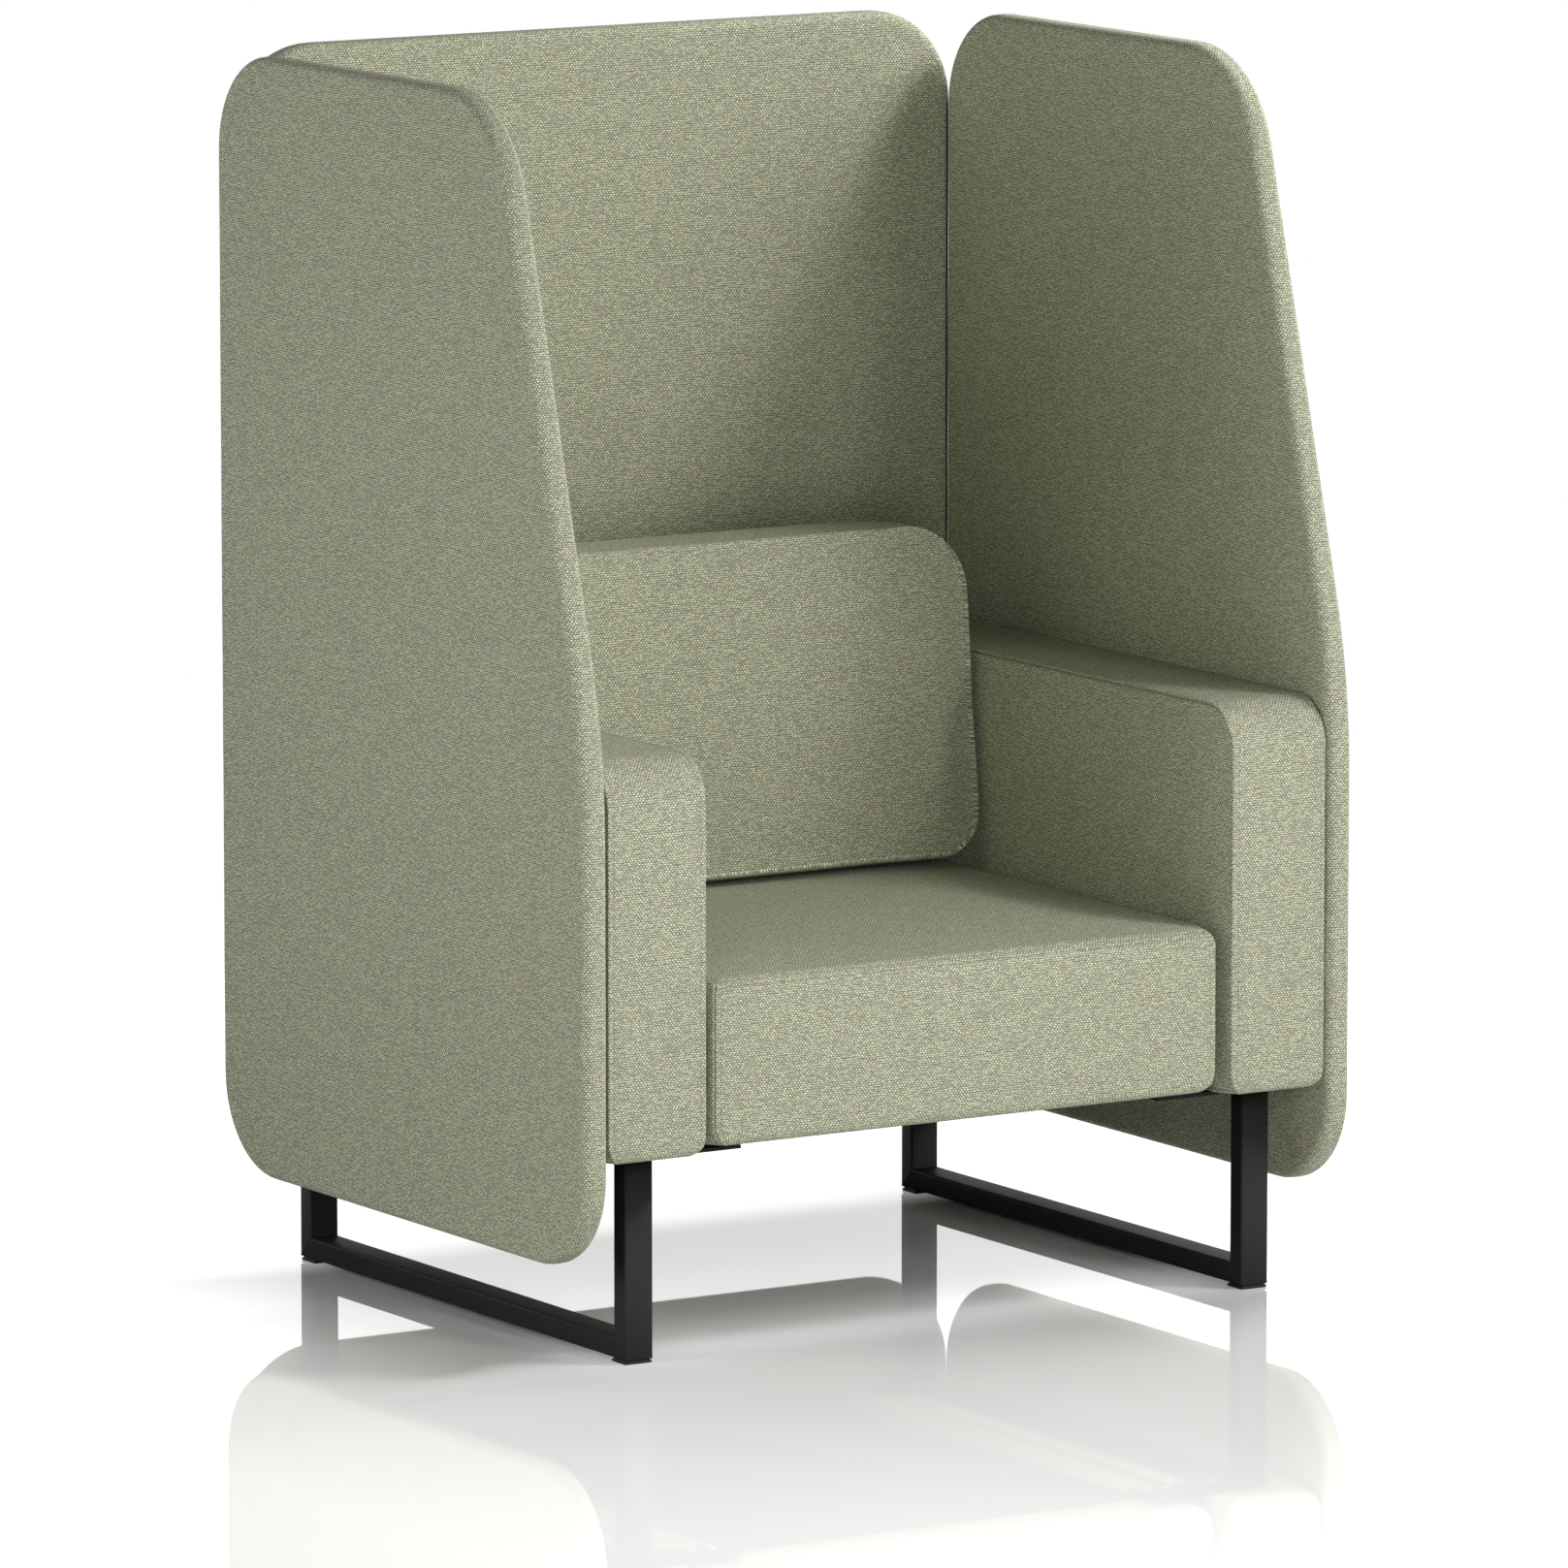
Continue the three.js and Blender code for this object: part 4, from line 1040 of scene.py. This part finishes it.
def rest_on(points, carrier):
    """Presses points that would sink into a carrier flat onto it."""
    mesh = carrier.data
    tree = BVHTree.FromPolygons([v.co for v in mesh.vertices], [tuple(p.vertices) for p in mesh.polygons])
    for k in np.nonzero(points[:, 2] < REST_BELOW)[0]:
        x, y, z = points[k]
        hit = tree.ray_cast(Vector((x, y, REST_RAY_START)), Vector((0, 0, -1)))[0]
        if hit is not None and z < hit.z + REST_GAP:
            points[k, 2] = hit.z + REST_GAP


# Frame, feet and fasteners

def rounded_loop(half_a, half_b, radius):
    """A rounded rectangle about the origin."""
    loop = []
    for sign_a, sign_b, start in ((1, -1, -1), (1, 1, 0), (-1, 1, 1), (-1, -1, 2)):
        for step in range(ROUND_CORNER_STEPS + 1):
            angle = QUARTER * (start + step / ROUND_CORNER_STEPS)
            loop.append((sign_a * (half_a - radius) + radius * math.cos(angle),
                         sign_b * (half_b - radius) + radius * math.sin(angle)))
    return np.array(loop)


def round_loop(sides, radius):
    """A circle about the origin; the radius may differ from point to point."""
    angles = np.arange(sides) * 2 * math.pi / sides
    return np.stack([radius * np.cos(angles), radius * np.sin(angles)], 1)


def level_ring(middle, loop, z):
    """A loop laid level at a height, about a middle."""
    return np.stack([middle.x + loop[:, 0], middle.y + loop[:, 1], np.full(len(loop), z)], 1)


def skin(rings):
    """Faces over a list of equal rings, with flat ends."""
    count = len(rings[0])
    last = (len(rings) - 1) * count
    faces = quads(len(rings), count)
    return np.concatenate(rings), faces + [range(count), range(last, last + count)]


def build_sleds():
    """Each sled is one U of welded tube: down the front leg, along the floor, up the rear leg."""
    for name in SIDES:
        nodes = [f"{name}_{part}" for part in ("front_leg", "floor_rail", "rear_leg")]
        (front_low, front_high), (rail_low, rail_high), (rear_low, rear_high) = map(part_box, nodes)
        half = (front_high - front_low) / 2
        front = (front_low + front_high) / 2
        rail = (rail_low + rail_high) / 2
        rear = (rear_low + rear_high) / 2
        loop = rounded_loop(half.x, half.y, TUBE_CORNER_RADIUS)

        def ring(y, z, tilt_y, tilt_z, swell):
            """A ring of the tube whose points shift along Y and Z with their place across its depth."""
            grown = loop * (1 + swell / np.array([half.x, half.y]))
            depth = grown[:, 1]
            return np.stack([front.x + grown[:, 0], y + tilt_y * depth, z + tilt_z * depth], 1)

        down = [ring(front.y, front_high.z, 1, 0, 0.0)]
        down += [ring(front.y, rail.z + gap, 1, 1, swell) for gap, swell in WELD_SHOULDERS]
        down.append(ring(front.y, rail.z, 1, 1, WELD_RISE))
        level = [ring(front.y + gap, rail.z, 1, 1, swell) for gap, swell in WELD_SHOULDERS[::-1]]
        level += [ring(rear.y - gap, rail.z, -1, 1, swell) for gap, swell in WELD_SHOULDERS]
        level.append(ring(rear.y, rail.z, -1, 1, WELD_RISE))
        up = [ring(rear.y, rail.z + gap, -1, 1, swell) for gap, swell in WELD_SHOULDERS[::-1]]
        up.append(ring(rear.y, rear_high.z, -1, 0, 0.0))
        made = piece(f"{name}_sled_frame", *skin(down + level + up), STEEL, "black_steel")
        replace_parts(made, *nodes)


def build_glides():
    for name in SIDES:
        for end in ENDS:
            node = f"{name}_{end}_glide"
            low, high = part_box(node)
            middle, half = (low + high) / 2, (high - low) / 2
            rings = []
            for inset, level in GLIDE_LEVELS:
                loop = rounded_loop(half.x - inset, half.y - inset, GLIDE_CORNER_RADIUS)
                rings.append(level_ring(middle, loop, low.z + level))
            made = piece(f"{name}_{end}_foot", *skin(rings), PLASTIC, "black_plastic", smooth_shaded=False)
            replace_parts(made, node)


def screw_head(node):
    """A button head with a hex socket, seen from below; its hidden shank isn't made again."""
    low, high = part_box(node)
    middle = (low + high) / 2
    radius = (high.x - low.x) / 2
    sixth = math.pi / 3
    angles = np.arange(HEAD_SIDES) * 2 * math.pi / HEAD_SIDES
    hexagon = SOCKET_HALF_WIDTH / np.cos((angles + sixth / 2) % sixth - sixth / 2)
    rings = []
    for share, height in zip(HEAD_RING_SHARES, HEAD_HEIGHTS):
        rings.append(level_ring(middle, round_loop(HEAD_SIDES, radius * share), low.z + height))
    for share, height in zip(SOCKET_RING_SHARES, SOCKET_HEIGHTS):
        rings.append(level_ring(middle, round_loop(HEAD_SIDES, hexagon * share), low.z + height))
    made = piece(f"{node}_head", *skin(rings), ZINC, "zinc_steel", smooth_shaded=False)
    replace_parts(made, node)


def build_fasteners():
    """The bolts whose heads show under the chair; the others stay as the CAD model's own nodes."""
    for name in SIDES:
        for end in ENDS:
            for number in range(1, 5):
                screw_head(f"{name}_{end}_plate_bolt_{number}")
    for number in (1, 2):
        screw_head(f"backrest_bolt_{number}")


def build_zips():
    """The closed zip in each corner: a coil of fine turns."""
    for name in SIDES:
        node = f"{name}_corner_zip"
        low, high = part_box(node)
        middle, length = (low + high) / 2, high.z - low.z
        radius = (high.x - low.x) / 2
        steps = 2 * int(length / ZIP_PITCH)
        rings = []
        for step in range(steps + 1):
            size = radius * (1.0 if step % 2 else ZIP_WAIST_SHARE)
            rings.append(level_ring(middle, round_loop(ZIP_SIDES, size), low.z + length * step / steps))
        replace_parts(piece(f"{name}_zip_coil", *skin(rings), PLASTIC, "black_plastic"), node)


def dust_cover(name, low_x, high_x, low_y, high_y, carrier):
    """A black cloth stapled flat under a board, sagging a little between its staples."""
    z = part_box(carrier)[0].z - DUST_COVER_DROP
    xs = np.linspace(low_x, high_x, max(2, round((high_x - low_x) / DUST_COVER_STEP)))
    ys = np.linspace(low_y, high_y, max(2, round((high_y - low_y) / DUST_COVER_STEP)))
    co = []
    for y in ys:
        for x in xs:
            border = min(x - low_x, high_x - x, y - low_y, high_y - y)
            sag = DUST_COVER_SAG * smooth(border / DUST_COVER_SAG_REACH)
            sag += DUST_COVER_WAVE * noise.noise(Vector((x, y, 0)) / DUST_COVER_WAVE_SIZE)
            co.append((x, y, z - max(0.0, sag)))
    faces = quads(len(ys), len(xs), closed=False)
    made = piece(name, co, faces, DUST_CLOTH, "black_plastic")


def build_dust_covers():
    """Black cloths under the boards, between the steel plates."""
    gap = DUST_COVER_GAP
    low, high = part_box("seat_deck")
    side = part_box("right_front_mounting_plate")[0].x - gap
    dust_cover("seat_dust_cover", -side, side, low.y + gap, high.y - gap, "seat_deck")
    for name in SIDES:
        board = f"{name}_arm_base_board"
        low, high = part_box(board)
        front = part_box(f"{name}_front_mounting_plate")[1].y + gap
        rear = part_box(f"{name}_rear_mounting_plate")[0].y - gap
        dust_cover(f"{name}_arm_dust_cover", low.x + gap, high.x - gap, front, rear, board)


def dress_cad_nodes():
    """Materials for the CAD nodes that show as they are."""
    for name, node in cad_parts.items():
        if "plate" in name and "bolt" not in name:
            material = STEEL
        elif "bolt" in name:
            material = ZINC
        else:
            material = PLYWOOD
        node.data.materials.clear()
        node.data.materials.append(material)


# Floor, light and camera

FLOOR_REACH = 60.0
FLOOR_SIDES = 64
FLOOR_MIRROR = 0.66
FLOOR_MIRROR_ROUGHNESS = 0.02
FLOOR_SEEN_SHADE = 0.66
FLOOR_SPECK_NOISE = (30.0, 3.0)
FLOOR_SHADES = [(0.0, (0.745, 0.745, 0.745)), (1.0, (0.755, 0.755, 0.755))]
FLOOR_FADE = (1.6, 3.2)

# Painted light on the floor: an emission that only the camera sees, which lifts the shadow beside the chair
# and under the seat's front to be as pale as in the photo
GLOW = 0.33
GLOW_MIDDLE = (0.25, 0.0)
GLOW_REACH = (0.76, 0.27)
GLOW_FADE = (0.95, 1.45)
FRONT_GLOW_FADE = (0.2, -1.1)
REAR_GLOW_FADE = (-0.05, 0.15)
UNDER_GLOW = 0.20
UNDER_GLOW_PLACE = -0.31
UNDER_GLOW_REACH = 0.11
UNDER_GLOW_FADE = (-0.60, -0.35)


def fade(g, value, ends):
    """A soft step from 0 at the first end to 1 at the second."""
    inputs = {"Value": value, "From Min": ends[0], "From Max": ends[1]}
    return g.node("ShaderNodeMapRange", inputs, interpolation_type="SMOOTHSTEP").outputs["Result"]


def painted_floor_light(g, place):
    """Painted light: emission that lifts the floor's shadow around the chair, weaker at its front and right,
    and in a band under the seat's front.
    """
    split = g.parts(place)
    away = g.vector("SUBTRACT", place, (*GLOW_MIDDLE, 0.0))
    away = g.parts(g.vector("ABSOLUTE", g.vector("DIVIDE", away, (*GLOW_REACH, 1.0))))
    gap = g.math("MAXIMUM", away["X"], away["Y"])
    inputs = {"Value": split["X"], "From Min": FRONT_GLOW_FADE[0], "From Max": FRONT_GLOW_FADE[1]}
    front = g.node("ShaderNodeMapRange", inputs).outputs["Result"]
    share = g.math("MAXIMUM", front, fade(g, split["Y"], REAR_GLOW_FADE))
    around = g.math("MULTIPLY", g.math("MULTIPLY", share, GLOW), fade(g, gap, GLOW_FADE))
    # Painted light in a band under the seat's front, where the lamps leave the floor darker
    band = g.math("DIVIDE", g.math("SUBTRACT", split["Y"], UNDER_GLOW_PLACE), UNDER_GLOW_REACH)
    band = g.math("EXPONENT", g.math("MULTIPLY", g.math("MULTIPLY", band, band), -1.0))
    under = g.math("MULTIPLY", g.math("MULTIPLY", band, UNDER_GLOW), fade(g, split["X"], UNDER_GLOW_FADE))
    return g.math("ADD", around, under)


def grey(shade):
    return (shade, shade, shade, 1.0)


def floor_material():
    """Pale gloss floor: it keeps the shadow, lifted by painted light, and the mirror image, and turns white
    away from the chair.
    """
    g = Graph("pale_floor")
    g.tree.nodes.remove(g.shader)
    place = g.node("ShaderNodeNewGeometry").outputs["Position"]
    distance = g.node("ShaderNodeVectorMath", {0: place}, operation="LENGTH").outputs["Value"]
    shade = g.ramp(g.noise(place, *FLOOR_SPECK_NOISE), FLOOR_SHADES)
    body = g.node("ShaderNodeBsdfDiffuse", {"Color": shade}).outputs[0]
    seen_body = g.node("ShaderNodeBsdfDiffuse", {"Color": grey(FLOOR_SEEN_SHADE)}).outputs[0]
    gloss = {"Color": grey(FLOOR_MIRROR), "Roughness": FLOOR_MIRROR_ROUGHNESS}
    mirror = g.node("ShaderNodeBsdfAnisotropic", gloss).outputs[0]
    white = g.node("ShaderNodeEmission", {"Strength": 1.0}).outputs[0]
    # Painted light: an emission, seen by the camera alone, that lifts the chair's shadow on the floor
    painted_glow = g.node("ShaderNodeEmission", {"Strength": painted_floor_light(g, place)}).outputs[0]
    seen = g.node("ShaderNodeAddShader", {0: seen_body, 1: mirror}).outputs[0]
    seen = g.node("ShaderNodeAddShader", {0: seen, 1: painted_glow}).outputs[0]
    seen = g.node("ShaderNodeMixShader", {0: fade(g, distance, FLOOR_FADE), 1: seen, 2: white}).outputs[0]
    camera_ray = g.node("ShaderNodeLightPath").outputs["Is Camera Ray"]
    mixed = g.node("ShaderNodeMixShader", {0: camera_ray, 1: body, 2: seen}).outputs[0]
    g.tree.links.new(mixed, g.tree.nodes["Material Output"].inputs["Surface"])
    return g.material


def build_floor():
    ring = [(*place, 0.0) for place in round_loop(FLOOR_SIDES, FLOOR_REACH)]
    faces = [(0, 1 + k, 1 + (k + 1) % FLOOR_SIDES) for k in range(FLOOR_SIDES)]
    mesh = new_mesh("floor", [(0, 0, 0)] + ring, faces)
    mesh.materials.append(floor_material())
    new_object("floor", mesh)


# Name: azimuth (0 is the front, positive to the viewer's right), elevation, distance, size, watts
LAMP_AIM = Vector((0, 0, 0.7))
LAMPS = {
    "key": (43.5, 46.5, 4.5, 0.9, 60.5),
    "front_high": (15, 20, 4.5, 0.6, 22.4),
    "right_front_low": (30, 8, 4.5, 1.6, 22.6),
    "right_low": (50, 8, 4.5, 1.6, 31.8),
    "right_near": (90, 43, 2.1, 0.9, 23.6),
    "front_near": (-15, 4, 2.1, 0.9, 9.8),
    "left_front_low": (-70, 8, 4.5, 1.6, 10.0),
    "left_low": (-90, 8, 4.5, 1.6, 34.4),
    "left_high": (-90, 22, 4.5, 1.6, 28.2),
}


def build_lamps():
    for name, (azimuth, elevation, distance, size, watts) in LAMPS.items():
        lamp = bpy.data.lights.new(name, "AREA")
        lamp.shape, lamp.size, lamp.energy = "DISK", size, watts
        a, e = math.radians(azimuth), math.radians(elevation)
        outward = Vector((math.sin(a) * math.cos(e), -math.cos(a) * math.cos(e), math.sin(e)))
        made = new_object(name, lamp)
        made.location = LAMP_AIM + outward * distance
        made.rotation_mode = "QUATERNION"
        made.rotation_quaternion = outward.to_track_quat("Z", "Y")
        made.visible_camera = False


def build_world():
    """White where the camera, a mirror or glass sees it, and no light else."""
    world = bpy.data.worlds.new("studio")
    bpy.context.scene.world = world
    world.use_nodes = True
    tree = world.node_tree
    tree.nodes.clear()
    ray = tree.nodes.new("ShaderNodeLightPath").outputs
    seen = ray["Is Camera Ray"]
    for kind in ("Is Glossy Ray", "Is Transmission Ray"):
        either = tree.nodes.new("ShaderNodeMath")
        either.operation = "MAXIMUM"
        tree.links.new(seen, either.inputs[0])
        tree.links.new(ray[kind], either.inputs[1])
        seen = either.outputs[0]
    white = tree.nodes.new("ShaderNodeBackground")
    white.inputs["Color"].default_value = grey(1.0)
    tree.links.new(seen, white.inputs["Strength"])
    output = tree.nodes.new("ShaderNodeOutputWorld")
    tree.links.new(white.outputs[0], output.inputs["Surface"])


CAMERA_PLACE = (-7.6821, -12.3775, 2.8405)
CAMERA_YAW = math.radians(31.859)
CAMERA_DROP = math.radians(8.811)
CAMERA_LENS = 288.6
CAMERA_SENSOR = 36.0
CAMERA_CLIP = (0.5, 200.0)


def build_camera():
    data = bpy.data.cameras.new("camera")
    data.lens, data.sensor_width = CAMERA_LENS, CAMERA_SENSOR
    data.clip_start, data.clip_end = CAMERA_CLIP
    camera = new_object("camera", data)
    camera.location = CAMERA_PLACE
    camera.rotation_euler = (QUARTER - CAMERA_DROP, 0.0, -CAMERA_YAW)
    bpy.context.scene.camera = camera


dress_cad_nodes()
build_screens()
build_arms()
seat = build_seat()
build_backrest()
build_back_cushion(seat)
build_sleds()
build_glides()
build_fasteners()
build_zips()
build_dust_covers()
build_floor()
build_lamps()
build_world()
build_camera()
bpy.context.scene.view_settings.view_transform = "Standard"

bpy.context.view_layer.update()
